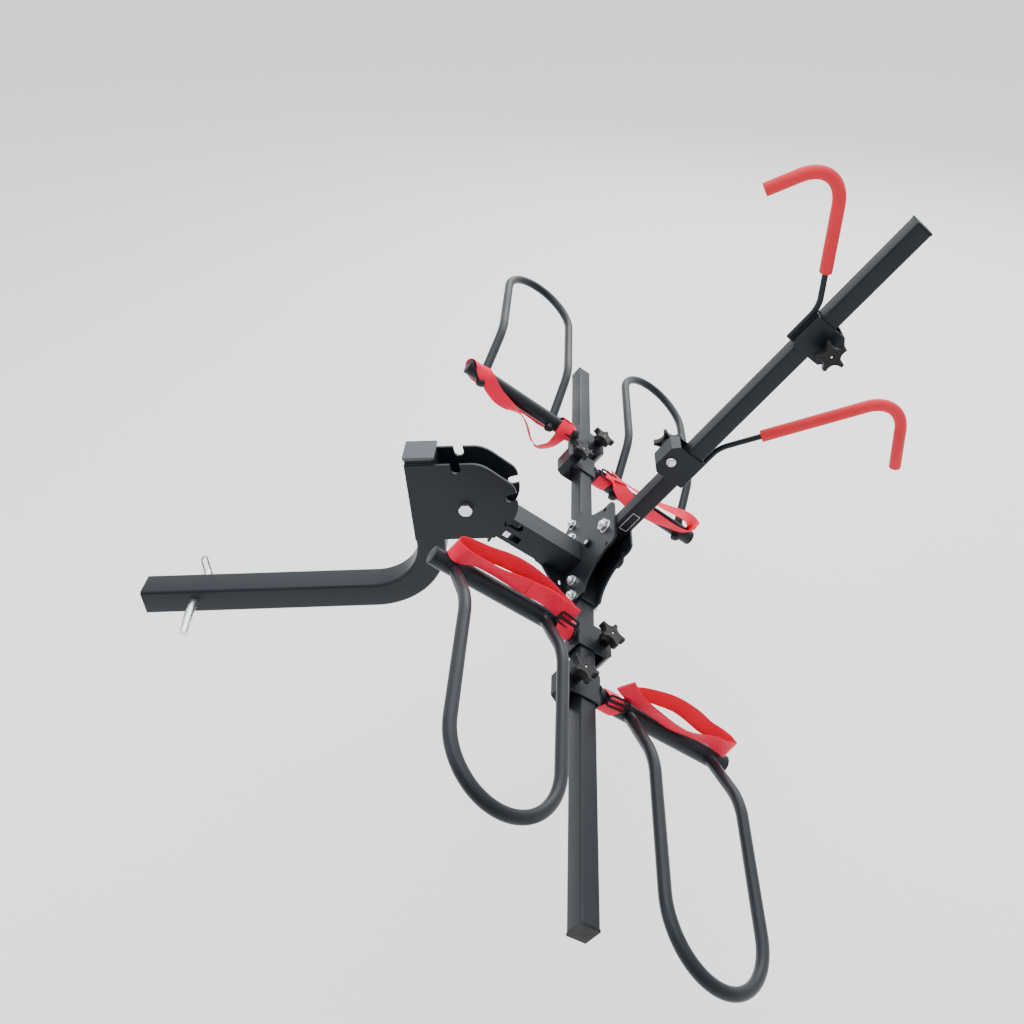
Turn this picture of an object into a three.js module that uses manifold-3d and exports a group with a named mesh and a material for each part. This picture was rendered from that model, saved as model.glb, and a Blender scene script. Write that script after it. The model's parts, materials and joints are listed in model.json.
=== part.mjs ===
// Hitch mounted bike rack: a bent hitch tube, a tilting arm, a crossbar with four wheel holders,
// and a folding mast with two padded hooks.
//
// Millimetres, +Z up, +X away from the vehicle, +Y across it. The origin is on the underside of
// the hitch shank, straight below the hitch-pin hole. Everything past the tilt pivot is built in
// the arm's own axes: u along the arm, y across it, w square to both. The group that holds it is
// turned about Y, so that the rack stands tilted down, away from the vehicle.

import * as THREE from 'three';
import { mergeVertices } from 'three/addons/utils/BufferGeometryUtils.js';
import Module from 'manifold-3d';

// ---------------------------------------------------------------- driving dimensions

const GAP = 0.3; // left between pieces that touch
const TILT_DEG = 40; // how far the arm hangs below level

// hitch
const SHANK = 50.8; // square tube that fills a two inch receiver
const SHANK_WALL = 5;
const SHANK_BEHIND_PIN = 90;
const UPRIGHT_X = 440; // pin hole to the centre of the upright
const BEND_RADIUS = 115; // of the tube's centre line
const UPRIGHT_TOP = 293; // above the shank's centre line
const PIN_RADIUS = 7.9;

// tilt pivot
const PIVOT_X = UPRIGHT_X + 70;
const PIVOT_Z = SHANK / 2 + 195;
const PIVOT_BOLT = 8; // radius, with a head and nut half again as wide
const PLATE = 5;
const PLATE_INNER = SHANK / 2 + GAP; // |y| of the pivot plates' inner faces
const NOTCH_WIDTH = 16;
const NOTCH_RADIUS = 80; // pivot to the centre of a seated latch pin
const LOCKED_DEG = 12.6; // a seated pin's direction, above the arm's own
const NOTCH_ANGLES = [84 + LOCKED_DEG, LOCKED_DEG, LOCKED_DEG - TILT_DEG];

// arm
const ARM = 50;
const ARM_WALL = 3;
const ARM_TOP = 28; // w of its upper face
const ARM_REAR = -33; // u of its rear end
const LATCH_U = 78;
const LATCH_W = 17.5;
const LATCH_RADIUS = 6;
const LATCH_TRAVEL = 22;
const LATCH_BAR = [90, -6.5]; // u and w of the square bar that slides with the pin
const LATCH_BAR_HALF = 6;

// crossbar, its bracket and the mast
const BAR = 31.75; // one and a quarter inch square tube
const BAR_WALL = 2.5;
const BAR_U = 250;
const BAR_W = 4;
const BAR_LENGTH = 1450;
const BRACKET_PLATE = 4.5;
const BRACKET_BOLT = 5; // radii of the bracket's fasteners
const MAST_BOLT = 6;
const LOCK_PIN = 4;
const LOOSE = 0.4; // by which a bolt's hole is larger in radius
const BOLT_Y = [-103, -61, 61, 103];
const MAST_PIVOT_W = 96; // above the crossbar's centre
const MAST_LOCK_W = 46;
const FOLDED_Y = MAST_PIVOT_W - MAST_LOCK_W; // where the lock hole goes when the mast is folded
const MAST_FOOT_W = 24;
const MAST_TOP_W = 832;

// clamps that slide on the bars
const CLAMP_HEIGHT = 62; // along the bar
const CLAMP_INNER = 16.2; // bar centre to a side plate
const CLAMP_SHEET = 3;
const CLAMP_WEB = 19; // bar centre to the web
const CLAMP_EAR = 48; // bar centre to the ears' ends
const CLAMP_BOLT = 29; // bar centre to the bolt
const STUD_RADIUS = 4;
const KNOB_RADIUS = 26;
const KNOB_LOBE = 6; // depth of the hollows between its points
const KNOB_HUB = 11;
const KNOB_THICK = 15;
const KNOB_CLEAR = 2; // clamp to knob

// wheel holders: centre along the crossbar, side of the bar that the spine is on
const HOLDERS = [
  { name: 'near_front', y: -204, side: -1, reach: -1 },
  { name: 'near_rear', y: -317, side: 1, reach: -1 },
  { name: 'far_rear', y: 312, side: 1, reach: 1 },
  { name: 'far_front', y: 417, side: -1, reach: 1 },
];
const SPINE_RADIUS = 16;
const SPINE_END = 301;
const SPINE_W = 5;
const HOOP_TUBE = 9.6;
const HOOP_INNER_LEG = 86;
const HOOP_OUTER_LEG = 262;
const HOOP_FLAT_W = 63;
const HOOP_REACH = 460;
const STRAP_WIDTH = 34;

// frame hooks: clamp height on the mast, path of the rod in (u, w) from the clamp's centre
const HOOKS = [
  {
    name: 'upper', w: 600, side: -1, knobSide: -1,
    corners: [[27, -30], [27, 38], [165, 231], [224, 118]], bends: [0, 15, 75, 0], sleeveStart: 57,
  },
  {
    name: 'lower', w: 282, side: 1, knobSide: 1,
    corners: [[27, -20], [27, 63], [204, 335], [299, 226]], bends: [0, 15, 66, 0], sleeveStart: 75,
  },
];
const HOOK_ROD = 5;
const SLEEVE_RADIUS = 10.5;

// ---------------------------------------------------------------- materials

const finish = (color, roughness, metalness) =>
  new THREE.MeshStandardMaterial({ color, roughness, metalness });

const materials = {
  steel: finish(0x26282c, 0.45, 0.3), // textured black powder coat
  plastic: finish(0x15161a, 0.5, 0), // knobs, caps and buckles
  zinc: finish(0xc4c8cc, 0.3, 0.9), // plated fasteners
  foam: finish(0xd8202c, 0.75, 0), // sleeves on the hooks
  webbing: finish(0xe01c3c, 0.8, 0), // wheel straps
};

// ---------------------------------------------------------------- solids

const wasm = await Module();
wasm.setup();

function toSolid(geometry) {
  const bare = (geometry.index ? geometry.toNonIndexed() : geometry).clone();
  bare.deleteAttribute('normal');
  bare.deleteAttribute('uv');
  const merged = mergeVertices(bare, 1e-4);
  return new wasm.Manifold(new wasm.Mesh({
    numProp: 3,
    vertProperties: new Float32Array(merged.attributes.position.array),
    triVerts: new Uint32Array(merged.index.array),
  }));
}

function toGeometry(solid) {
  const { vertProperties, triVerts } = solid.getMesh();
  const geometry = new THREE.BufferGeometry();
  geometry.setAttribute('position', new THREE.BufferAttribute(vertProperties, 3));
  geometry.setIndex(new THREE.BufferAttribute(triVerts, 1));
  geometry.computeVertexNormals();
  return geometry;
}

function join(...geometries) {
  return toGeometry(geometries.map(toSolid).reduce((whole, next) => whole.add(next)));
}

function cut(geometry, ...tools) {
  return toGeometry(tools.map(toSolid).reduce((left, tool) => left.subtract(tool), toSolid(geometry)));
}

// A box given by its lowest and highest corners.
function box([x0, y0, z0], [x1, y1, z1]) {
  return new THREE.BoxGeometry(x1 - x0, y1 - y0, z1 - z0)
    .translate((x0 + x1) / 2, (y0 + y1) / 2, (z0 + z1) / 2);
}

const AXES = {
  x: new THREE.Matrix4().makeRotationZ(-Math.PI / 2),
  y: new THREE.Matrix4(),
  z: new THREE.Matrix4().makeRotationX(Math.PI / 2),
};

// A prism or round bar of a given number of sides, running along an axis between two stations.
function bar(axis, radius, from, to, at = [0, 0], sides = 16) {
  const geometry = new THREE.CylinderGeometry(radius, radius, to - from, sides);
  geometry.applyMatrix4(AXES[axis]);
  const middle = (from + to) / 2;
  const [a, b] = at;
  const centre = { x: [middle, a, b], y: [a, middle, b], z: [a, b, middle] }[axis];
  return geometry.translate(...centre);
}

// A flat piece from an outline: the outline's own axes and the way it is thick, as axis letters.
function sheet(outline, plane, from, to, curveSegments = 6) {
  const geometry = new THREE.ExtrudeGeometry(outline, {
    depth: to - from, bevelEnabled: false, curveSegments,
  }).translate(0, 0, from);
  const unit = {
    x: new THREE.Vector3(1, 0, 0), y: new THREE.Vector3(0, 1, 0), z: new THREE.Vector3(0, 0, 1),
  };
  const [first, second] = plane;
  const third = unit[first].clone().cross(unit[second]);
  return geometry.applyMatrix4(new THREE.Matrix4().makeBasis(unit[first], unit[second], third));
}

function outlineOf(points) {
  return new THREE.Shape(points.map(([a, b]) => new THREE.Vector2(a, b)));
}

function squareTube(axis, size, wall, from, to) {
  const half = size / 2;
  const inner = half - wall;
  const long = (end, reach) => ({
    x: [end, -reach, -reach], y: [-reach, end, -reach], z: [-reach, -reach, end],
  }[axis]);
  const far = (end, reach) => ({
    x: [end, reach, reach], y: [reach, end, reach], z: [reach, reach, end],
  }[axis]);
  return cut(
    box(long(from, half), far(to, half)),
    box(long(from - 1, inner), far(to + 1, inner)),
  );
}

// A curve known only at stations, so that a sweep spends its sections on the bends.
class StationCurve extends THREE.Curve {
  constructor(stations) {
    super();
    this.stations = stations;
  }

  station(fraction) {
    return this.stations[Math.round(fraction * (this.stations.length - 1))];
  }

  getPointAt(fraction, target = new THREE.Vector3()) {
    return target.copy(this.station(fraction).point);
  }

  getTangentAt(fraction, target = new THREE.Vector3()) {
    return target.copy(this.station(fraction).tangent);
  }
}

const ROUND = 0.5523; // handle length that makes a cubic follow a quarter circle

// Straight runs between corners, with each corner rounded over its own reach: a number, or a pair
// of numbers for the reach before and after it.
function stationsAlong(corners, reaches, steps = 5) {
  const at = corners.map((corner) => new THREE.Vector3(...corner));
  const towards = (from, to, length) =>
    from.clone().add(to.clone().sub(from).setLength(length));
  const heading = (from, to) => to.clone().sub(from).normalize();
  const stations = [{ point: at[0], tangent: heading(at[0], at[1]) }];
  for (let i = 1; i < at.length - 1; i += 1) {
    const [before, after] = [reaches[i]].flat().length === 2 ? reaches[i] : [reaches[i], reaches[i]];
    const start = towards(at[i], at[i - 1], before);
    const end = towards(at[i], at[i + 1], after);
    const curve = new THREE.CubicBezierCurve3(
      start, start.clone().lerp(at[i], ROUND), end.clone().lerp(at[i], ROUND), end,
    );
    for (let step = 0; step <= steps; step += 1) {
      const point = curve.getPoint(step / steps);
      if (point.distanceTo(stations.at(-1).point) > 0.01) {
        stations.push({ point, tangent: curve.getTangent(step / steps) });
      }
    }
  }
  const last = at.length - 1;
  stations.push({ point: at[last], tangent: heading(at[last - 1], at[last]) });
  return stations;
}

function sweep(section, stations) {
  return new THREE.ExtrudeGeometry(section, {
    extrudePath: new StationCurve(stations), steps: stations.length - 1, curveSegments: 2,
  });
}

function roundSection(radius, sides) {
  const turn = (2 * Math.PI) / sides;
  return outlineOf(Array.from({ length: sides }, (_, i) =>
    [radius * Math.cos((i + 0.5) * turn), radius * Math.sin((i + 0.5) * turn)]));
}

// The same piece on the other side of the bar: signs along the first two axes.
function mirrored(geometry, first, second) {
  const copy = geometry.clone().scale(first, second, 1);
  if (first * second < 0) {
    const index = copy.index ? copy.index.array : null;
    if (!index) {
      return mirrored(mergeVertices(geometry), first, second);
    }
    for (let i = 0; i < index.length; i += 3) {
      [index[i + 1], index[i + 2]] = [index[i + 2], index[i + 1]];
    }
  }
  copy.computeVertexNormals();
  return copy;
}

function place(group, name, geometry, material) {
  const mesh = new THREE.Mesh(geometry, material);
  mesh.name = name;
  group.add(mesh);
  return mesh;
}

// ---------------------------------------------------------------- fasteners

// A hexagon bolt along an axis: its head at one end and its nut at the other, made as one piece.
function hexBolt(axis, radius, headFace, nutFace, at, headAcross = 3.4 * radius) {
  const corner = headAcross / Math.sqrt(3);
  const away = Math.sign(headFace - nutFace);
  const head = [headFace, headFace + away * radius * 1.3].sort((a, b) => a - b);
  const nut = [nutFace, nutFace - away * radius * 1.6].sort((a, b) => a - b);
  const shaft = [headFace + away, nutFace - away * radius * 2.4].sort((a, b) => a - b);
  return join(
    bar(axis, corner, ...head, at, 6),
    bar(axis, corner, ...nut, at, 6),
    bar(axis, radius, ...shaft, at, 12),
  );
}

// A five-pointed star on a round hub, facing along +z from z = 0.
function starKnob(thickness) {
  const lobes = 5;
  const ring = 40;
  const outline = outlineOf(Array.from({ length: ring }, (_, i) => {
    const angle = (2 * Math.PI * i) / ring;
    const radius = KNOB_RADIUS - KNOB_LOBE * (1 - Math.cos(lobes * angle));
    return [radius * Math.cos(angle), radius * Math.sin(angle)];
  }));
  return join(
    sheet(outline, 'xy', thickness * 0.6, thickness * 1.8),
    bar('z', KNOB_HUB, 0, thickness),
  );
}

// ---------------------------------------------------------------- hitch

function hitchTube() {
  const half = SHANK / 2;
  const section = outlineOf([[-half, -half], [half, -half], [half, half], [-half, half]]);
  const inner = half - SHANK_WALL;
  section.holes.push(outlineOf([[-inner, -inner], [-inner, inner], [inner, inner], [inner, -inner]]));
  const path = stationsAlong(
    [[-SHANK_BEHIND_PIN, 0, half], [UPRIGHT_X, 0, half], [UPRIGHT_X, 0, half + UPRIGHT_TOP]],
    [0, BEND_RADIUS, 0],
    8,
  );
  return cut(sweep(section, path), bar('y', PIN_RADIUS + GAP, -half - 1, half + 1, [0, half]));
}

function tubeCap() {
  const top = SHANK / 2 + UPRIGHT_TOP;
  const lid = 6;
  const depth = 14;
  const rim = SHANK / 2 + 1.2;
  const plug = SHANK / 2 - SHANK_WALL - GAP;
  return join(
    box([UPRIGHT_X - rim, -rim, top + GAP], [UPRIGHT_X + rim, rim, top + lid]),
    box([UPRIGHT_X - plug, -plug, top - depth], [UPRIGHT_X + plug, plug, top + 1]),
  );
}

// A notch for the latch pin, cut in from the rim towards the pivot.
function latchNotch(angleDeg) {
  const half = NOTCH_WIDTH / 2;
  const notch = new THREE.Shape();
  notch.moveTo(NOTCH_RADIUS, half);
  notch.absarc(NOTCH_RADIUS, 0, half, Math.PI / 2, -Math.PI / 2, false);
  notch.lineTo(NOTCH_RADIUS * 1.5, -half);
  notch.lineTo(NOTCH_RADIUS * 1.5, half);
  return sheet(notch, 'xz', -PLATE, 2 * PLATE).rotateY(THREE.MathUtils.degToRad(-angleDeg));
}

// Covers the upright's side and carries the pivot. Its rim has a notch for each locked position.
function pivotPlate() {
  const left = UPRIGHT_X - SHANK / 2 - PIVOT_X + 1;
  const top = 90;
  const outline = new THREE.Shape();
  outline.moveTo(left, -66);
  outline.lineTo(44, -66);
  outline.lineTo(79, -30);
  outline.quadraticCurveTo(91, -8, 90, 6);
  outline.lineTo(89, 24);
  outline.quadraticCurveTo(89, 40, 79, 49);
  outline.lineTo(49, 76);
  outline.quadraticCurveTo(33, top, 17, top);
  outline.lineTo(left, top);
  const slots = NOTCH_ANGLES.map(latchNotch);
  const boltHole = bar('y', PIVOT_BOLT + LOOSE, -PLATE * 2, PLATE * 2, [0, 0], 24);
  return cut(sheet(outline, 'xz', 0, PLATE), ...slots, boltHole);
}

function buildHitch(group) {
  place(group, 'hitch_tube', hitchTube(), materials.steel);
  place(group, 'tube_cap', tubeCap(), materials.plastic);
  // the outline's plane has its thickness towards -y
  const plate = pivotPlate();
  const near = place(group, 'pivot_plate_near', plate, materials.steel);
  near.position.set(PIVOT_X, -PLATE_INNER, PIVOT_Z);
  const far = place(group, 'pivot_plate_far', plate.clone(), materials.steel);
  far.position.set(PIVOT_X, PLATE_INNER + PLATE, PIVOT_Z);
  const face = PLATE_INNER + PLATE + GAP;
  const corner = 1.5 * PIVOT_BOLT;
  const at = [PIVOT_X, PIVOT_Z];
  place(group, 'pivot_bolt', join(
    bar('y', corner, -face - PIVOT_BOLT, -face, at, 6),
    bar('y', PIVOT_BOLT, -face - 1, face + 18, at, 24),
  ), materials.zinc);
  place(group, 'pivot_nut', cut(
    bar('y', corner, face, face + 12, at, 6),
    bar('y', PIVOT_BOLT + GAP, face - 1, face + 13, at, 24),
  ), materials.zinc);
}

// A bent pin through the shank, and the spring clip on its end.
function buildHitchPin(group) {
  const half = SHANK / 2;
  const reach = half + 34;
  const handle = 48;
  const pin = sweep(roundSection(PIN_RADIUS, 12), stationsAlong(
    [[0, reach, half], [0, -half - 22, half], [0, -half - 22 - handle, half - handle * 0.25]],
    [0, 10, 0],
    4,
  ));
  const holeY = half + 24;
  const clipHole = bar('z', 2.4, 0, SHANK, [0, holeY], 8);
  place(group, 'hitch_pin', cut(pin, clipHole), materials.zinc);
  const wire = roundSection(1.8, 6);
  place(group, 'hitch_clip', sweep(wire, stationsAlong(
    [[0, holeY, half - 22], [0, holeY, half + 40], [11.5, holeY, half + 50], [11.5, holeY, half - 22]],
    [0, 8, 8, 0],
    3,
  )), materials.zinc);
}

// ---------------------------------------------------------------- arm and bracket

function armTube() {
  const half = ARM / 2;
  const end = BAR_U - BAR / 2 - GAP - BRACKET_PLATE - GAP;
  const through = half + 1;
  const under = ARM_TOP - ARM;
  const slotEnd = LATCH_U + LATCH_TRAVEL;
  const slotHalf = LATCH_RADIUS + 1;
  const tube = squareTube('x', ARM, ARM_WALL, ARM_REAR, end).translate(0, 0, ARM_TOP - half);
  const slot = box([LATCH_U, -through, LATCH_W - slotHalf], [slotEnd, through, LATCH_W + slotHalf]);
  const slotEnds = [LATCH_U, slotEnd].map((u) => bar('y', slotHalf, -through, through, [u, LATCH_W]));
  const tabSlot = box([LATCH_U - 6, -9, under - 1], [slotEnd + 6, 9, under + 5]);
  const pivotHole = bar('y', PIVOT_BOLT + LOOSE, -through, through, [0, 0], 24);
  const [barU, barW] = LATCH_BAR;
  const barRoom = LATCH_BAR_HALF + LOOSE;
  const barSlot = box(
    [barU - barRoom, -through, barW - barRoom],
    [barU + LATCH_TRAVEL + barRoom, through, barW + barRoom],
  );
  return cut(tube, slot, ...slotEnds, tabSlot, pivotHole, barSlot);
}

// A crosswise pin in the arm's slots, with a finger tab that hangs out below the arm.
function latchPin() {
  const length = PLATE_INNER - GAP;
  const under = ARM_TOP - ARM;
  return join(
    bar('y', LATCH_RADIUS, -length, length, [LATCH_U, LATCH_W]),
    box([LATCH_U - 2, -7, under - 22], [LATCH_U + 2, 7, LATCH_W]),
    box([LATCH_U - 2, -14, under - 26], [LATCH_U + 2, 14, under - 18]),
  );
}

// A square bar across the arm in slots of its own, which keeps the latch pin level.
function latchBar() {
  const length = PLATE_INNER - GAP;
  const [u, w] = LATCH_BAR;
  const half = LATCH_BAR_HALF;
  return box([u - half, -length, w - half], [u + half, length, w + half]);
}

// The bottom plate that braces the arm to the bracket, widening to the crossbar.
function gusset() {
  const start = 165;
  const end = BAR_U - BAR / 2 - 2 * GAP - BRACKET_PLATE;
  const outline = outlineOf([
    [start, -22], [start + 15, -26], [end - 8, -84], [end, -84],
    [end, 84], [end - 8, 84], [start + 15, 26], [start, 22],
  ]);
  const under = ARM_TOP - ARM - GAP;
  const slots = [-46, 46].map((y) => box([end - 12, y - 7, under - 6], [end - 6, y + 7, under + 1]));
  return cut(sheet(outline, 'xy', under - 4, under), ...slots);
}

function bracketOutline() {
  const half = new THREE.Path();
  half.moveTo(94, -30);
  half.lineTo(118, -8);
  half.lineTo(118, 28);
  half.quadraticCurveTo(82, 36, 64, 78);
  half.quadraticCurveTo(57, 92, 58, 106);
  half.quadraticCurveTo(57, 116, 48, 120);
  const points = half.getPoints(5).map((point) => [point.x, point.y]);
  const other = points.map(([y, w]) => [-y, w]).reverse();
  return outlineOf([...points, ...other]);
}

// Four bolts, the mast's pivot, and the lock pin's three places: mast up, and folded to each side.
function bracketHoles(from, to) {
  return [
    ...BOLT_Y.map((y) => bar('x', BRACKET_BOLT + LOOSE, from, to, [y, 0], 12)),
    bar('x', MAST_BOLT + LOOSE, from, to, [0, MAST_PIVOT_W], 12),
    ...[-FOLDED_Y, FOLDED_Y].map((y) => bar('x', LOCK_PIN + LOOSE, from, to, [y, MAST_PIVOT_W], 12)),
    bar('x', LOCK_PIN + LOOSE, from, to, [0, MAST_LOCK_W], 12),
  ];
}

// The plate on one side of the crossbar; the rear one has a flange over the bar.
function bracketPlate(side, withFlange) {
  const inner = BAR / 2 + GAP;
  const [from, to] = [side * inner, side * (inner + BRACKET_PLATE)].sort((a, b) => a - b);
  const plate = sheet(bracketOutline(), 'yz', from, to);
  const flange = box([-inner + GAP, -122, inner], [inner + 1, 122, inner + 3]);
  return cut(withFlange ? join(plate, flange) : plate, ...bracketHoles(from - 1, to + 1));
}

function crossbar() {
  const half = BAR_LENGTH / 2;
  const holes = BOLT_Y.map((y) => bar('x', BRACKET_BOLT + LOOSE, -BAR, BAR, [y, 0], 12));
  return cut(squareTube('y', BAR, BAR_WALL, -half, half), ...holes);
}

// A plug with a thin rim in the end of a square bar, facing along its own +z.
function barCap() {
  const rim = BAR / 2;
  const plug = BAR / 2 - BAR_WALL - GAP;
  return join(
    box([-rim, -rim, GAP], [rim, rim, 4]),
    box([-plug, -plug, -14], [plug, plug, 1]),
  );
}

// Drawn back, with its tip still in the rear plate: a stem, a collar and a round pull.
function lockPin() {
  const start = BAR / 2 + 2 * GAP;
  const at = [0, MAST_LOCK_W];
  return join(
    bar('x', LOCK_PIN, start, start + 30, at, 12),
    bar('x', 9, start + 12, start + 18, at, 12),
    bar('x', 13, start + 30, start + 38, at, 16),
  );
}

// Where the lock pin's tip comes through: a round boss on the front plate.
function lockBush() {
  const face = -(BAR / 2 + 2 * GAP + BRACKET_PLATE);
  return cut(
    bar('x', 8, face - 6, face, [0, MAST_LOCK_W], 16),
    bar('x', LOCK_PIN + LOOSE, face - 7, face - 3, [0, MAST_LOCK_W], 12),
  );
}

function buildArm(group) {
  place(group, 'arm_tube', armTube(), materials.steel);
  place(group, 'arm_gusset', gusset(), materials.steel);
  place(group, 'latch_pin', latchPin(), materials.plastic);
  place(group, 'latch_bar', latchBar(), materials.zinc);
}

function buildBar(group) {
  place(group, 'crossbar', crossbar(), materials.steel);
  const nearCap = place(group, 'crossbar_cap_near', barCap(), materials.plastic);
  nearCap.position.set(0, -BAR_LENGTH / 2, 0);
  nearCap.rotation.x = Math.PI / 2;
  const farCap = place(group, 'crossbar_cap_far', barCap(), materials.plastic);
  farCap.position.set(0, BAR_LENGTH / 2, 0);
  farCap.rotation.x = -Math.PI / 2;
  place(group, 'bracket_front', bracketPlate(-1, false), materials.steel);
  place(group, 'bracket_rear', bracketPlate(1, true), materials.steel);
  const face = BAR / 2 + BRACKET_PLATE + 2 * GAP;
  BOLT_Y.forEach((y, i) => {
    const bolt = hexBolt('x', BRACKET_BOLT, -face, face, [y, 0]);
    place(group, `bracket_bolt_${i + 1}`, bolt, materials.zinc);
  });
  const mastBolt = hexBolt('x', MAST_BOLT, -face, face, [0, MAST_PIVOT_W], 22);
  place(group, 'mast_pivot_bolt', mastBolt, materials.zinc);
  place(group, 'mast_lock_pin', lockPin(), materials.plastic);
  place(group, 'mast_lock_bush', lockBush(), materials.steel);
}

// ---------------------------------------------------------------- mast

function buildMast(group) {
  const wide = BAR / 2 + 1;
  place(group, 'mast_tube', cut(
    squareTube('z', BAR, BAR_WALL, MAST_FOOT_W, MAST_TOP_W - 4),
    bar('x', MAST_BOLT + LOOSE, -wide, wide, [0, MAST_PIVOT_W]),
    bar('x', LOCK_PIN + LOOSE, -wide, wide, [0, MAST_LOCK_W]),
  ), materials.steel);
  const cap = place(group, 'mast_cap', barCap(), materials.plastic);
  cap.position.z = MAST_TOP_W - 4;
}

// A short box of bent sheet that the bar runs through, with cut corners on its bolt's side. Built
// with its web towards +x and its bar along y.
function clampSheet(web, ear, bolt, length) {
  const half = length / 2;
  const chamfer = 10;
  const outside = CLAMP_INNER + CLAMP_SHEET;
  const outline = outlineOf([
    [web + CLAMP_SHEET, -half], [web + CLAMP_SHEET, half], [-ear + chamfer, half],
    [-ear, half - chamfer], [-ear, -half + chamfer], [-ear + chamfer, -half],
  ]);
  const wall = -ear + CLAMP_SHEET;
  const slant = CLAMP_SHEET * (Math.SQRT2 - 1); // how far the sheet's inner corners step back
  const inside = outlineOf([
    [web, -half - 1], [web, half + 1], [wall + chamfer + slant + 1, half + 1],
    [wall, half - chamfer - slant], [wall, -half + chamfer + slant],
    [wall + chamfer + slant + 1, -half - 1],
  ]);
  return cut(
    sheet(outline, 'xy', -outside, outside),
    sheet(inside, 'xy', -CLAMP_INNER, CLAMP_INNER),
    bar('z', STUD_RADIUS + 0.6, -outside - 1, outside + 1, [-bolt, 0], 12),
  );
}

// Stations of a hook's rod or sleeve. Distances are measured along its second straight run.
function hookPath({ side, corners, bends }, from, endShort) {
  const points = corners.map(([u, w]) => new THREE.Vector3(side * u, 0, w));
  const run = from > 0 ? points.slice(1) : points;
  const reaches = from > 0 ? bends.slice(1) : bends;
  const start = run[0].clone();
  if (from > 0) {
    start.add(run[1].clone().sub(run[0]).setLength(from));
  }
  const last = run.at(-1).clone();
  last.add(run.at(-2).clone().sub(last).setLength(endShort));
  const ends = [start, ...run.slice(1, -1), last];
  return stationsAlong(ends.map((point) => point.toArray()), [0, ...reaches.slice(1)], 6);
}

// One frame hook with its clamp, centred where the clamp sits on the mast.
function buildHook(group, hook) {
  const { name, side, knobSide, sleeveStart } = hook;
  const ear = CLAMP_EAR - 3;
  const bolt = CLAMP_BOLT - 1;
  const outside = CLAMP_INNER + CLAMP_SHEET;
  // the clamp's own y runs up the mast, and its z across it
  const sheetGeometry = clampSheet(CLAMP_WEB, ear, bolt, CLAMP_HEIGHT).rotateX(Math.PI / 2);
  place(group, `${name}_hook_clamp`, mirrored(sheetGeometry, side, 1), materials.steel);
  const rod = sweep(roundSection(HOOK_ROD, 8), hookPath(hook, 0, 5));
  place(group, `${name}_hook_rod`, rod, materials.steel);
  place(group, `${name}_hook_sleeve`, cut(
    sweep(roundSection(SLEEVE_RADIUS, 10), hookPath(hook, sleeveStart, 0.01)),
    sweep(roundSection(HOOK_ROD + 0.6, 8), hookPath(hook, sleeveStart - 1, 4)),
  ), materials.foam);
  const at = [-side * bolt, 0];
  const knobFace = knobSide * (outside + KNOB_CLEAR);
  const headFace = -knobSide * (outside + GAP);
  const span = (a, b) => [a, b].sort((p, q) => p - q);
  place(group, `${name}_hook_bolt`, join(
    bar('y', 9, ...span(headFace, headFace - knobSide * 5), at, 16),
    bar('y', STUD_RADIUS, ...span(headFace - knobSide, knobFace + knobSide * 12), at, 12),
  ), materials.zinc);
  const knob = cut(
    starKnob(KNOB_THICK),
    bar('z', STUD_RADIUS + GAP, -1, KNOB_THICK, [0, 0], 12),
  );
  knob.rotateX(knobSide > 0 ? -Math.PI / 2 : Math.PI / 2);
  const knobMesh = place(group, `${name}_hook_knob`, knob, materials.plastic);
  knobMesh.position.set(at[0], knobFace, at[1]);
}

// ---------------------------------------------------------------- wheel holders

// Both legs pass through the spine, and their lower ends stay just inside it as round plugs.
function holderHoop(extra = 0) {
  const slope = (HOOP_FLAT_W - SPINE_W) / 130;
  const inner = -21;
  const leg = (u) => [[u, inner, SPINE_W + inner * slope], [u, 130, HOOP_FLAT_W]];
  const halfWidth = (HOOP_OUTER_LEG - HOOP_INNER_LEG) / 2;
  const end = [[HOOP_INNER_LEG, HOOP_REACH, HOOP_FLAT_W], [HOOP_OUTER_LEG, HOOP_REACH, HOOP_FLAT_W]];
  const corners = [...leg(HOOP_INNER_LEG), ...end, ...leg(HOOP_OUTER_LEG).reverse()];
  const reaches = [0, 30, [106, halfWidth], [halfWidth, 106], 30, 0];
  return sweep(roundSection(HOOP_TUBE + extra, 8), stationsAlong(corners, reaches, 5));
}

// Tube with a round cap in its outer end, open towards the clamp, drilled for the hoop's legs.
function holderSpine() {
  const start = CLAMP_WEB + CLAMP_SHEET + GAP;
  const at = [0, SPINE_W];
  const tube = cut(
    bar('x', SPINE_RADIUS, start, SPINE_END, at),
    bar('x', SPINE_RADIUS - 2.5, start - 1, SPINE_END - 4, at),
  );
  return cut(tube, holderHoop(0.5));
}

// Webbing laid along the top of the spine and folded over its end, as one plain solid.
function holderStrap() {
  const base = SPINE_W + SPINE_RADIUS + 4.5;
  const end = SPINE_END + GAP;
  const outline = new THREE.Shape();
  outline.moveTo(40, base);
  outline.lineTo(end, base);
  outline.lineTo(end, SPINE_W - 6);
  outline.lineTo(end + 6, SPINE_W - 6);
  outline.quadraticCurveTo(end + 10, base + 6, end - 14, base + 14);
  outline.quadraticCurveTo(170, base + 34, 40, base + 6);
  return sheet(outline, 'xz', -STRAP_WIDTH / 2, STRAP_WIDTH / 2, 6);
}

// A slider with two slots, hung beside the spine's inner end.
function holderBuckle() {
  const y = SPINE_RADIUS + 3;
  const frame = box([34, -y - 4, -16], [62, -y, 28]);
  const slots = [40, 51].map((u) => box([u - 3, -y - 5, -11], [u + 3, -y + 1, 23]));
  return cut(frame, ...slots);
}

function holderKnob() {
  const outside = CLAMP_INNER + CLAMP_SHEET;
  return join(
    starKnob(KNOB_THICK).translate(0, 0, outside + KNOB_CLEAR),
    bar('z', STUD_RADIUS, -outside - 12, outside + KNOB_CLEAR + 1, [0, 0], 12),
  );
}

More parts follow.
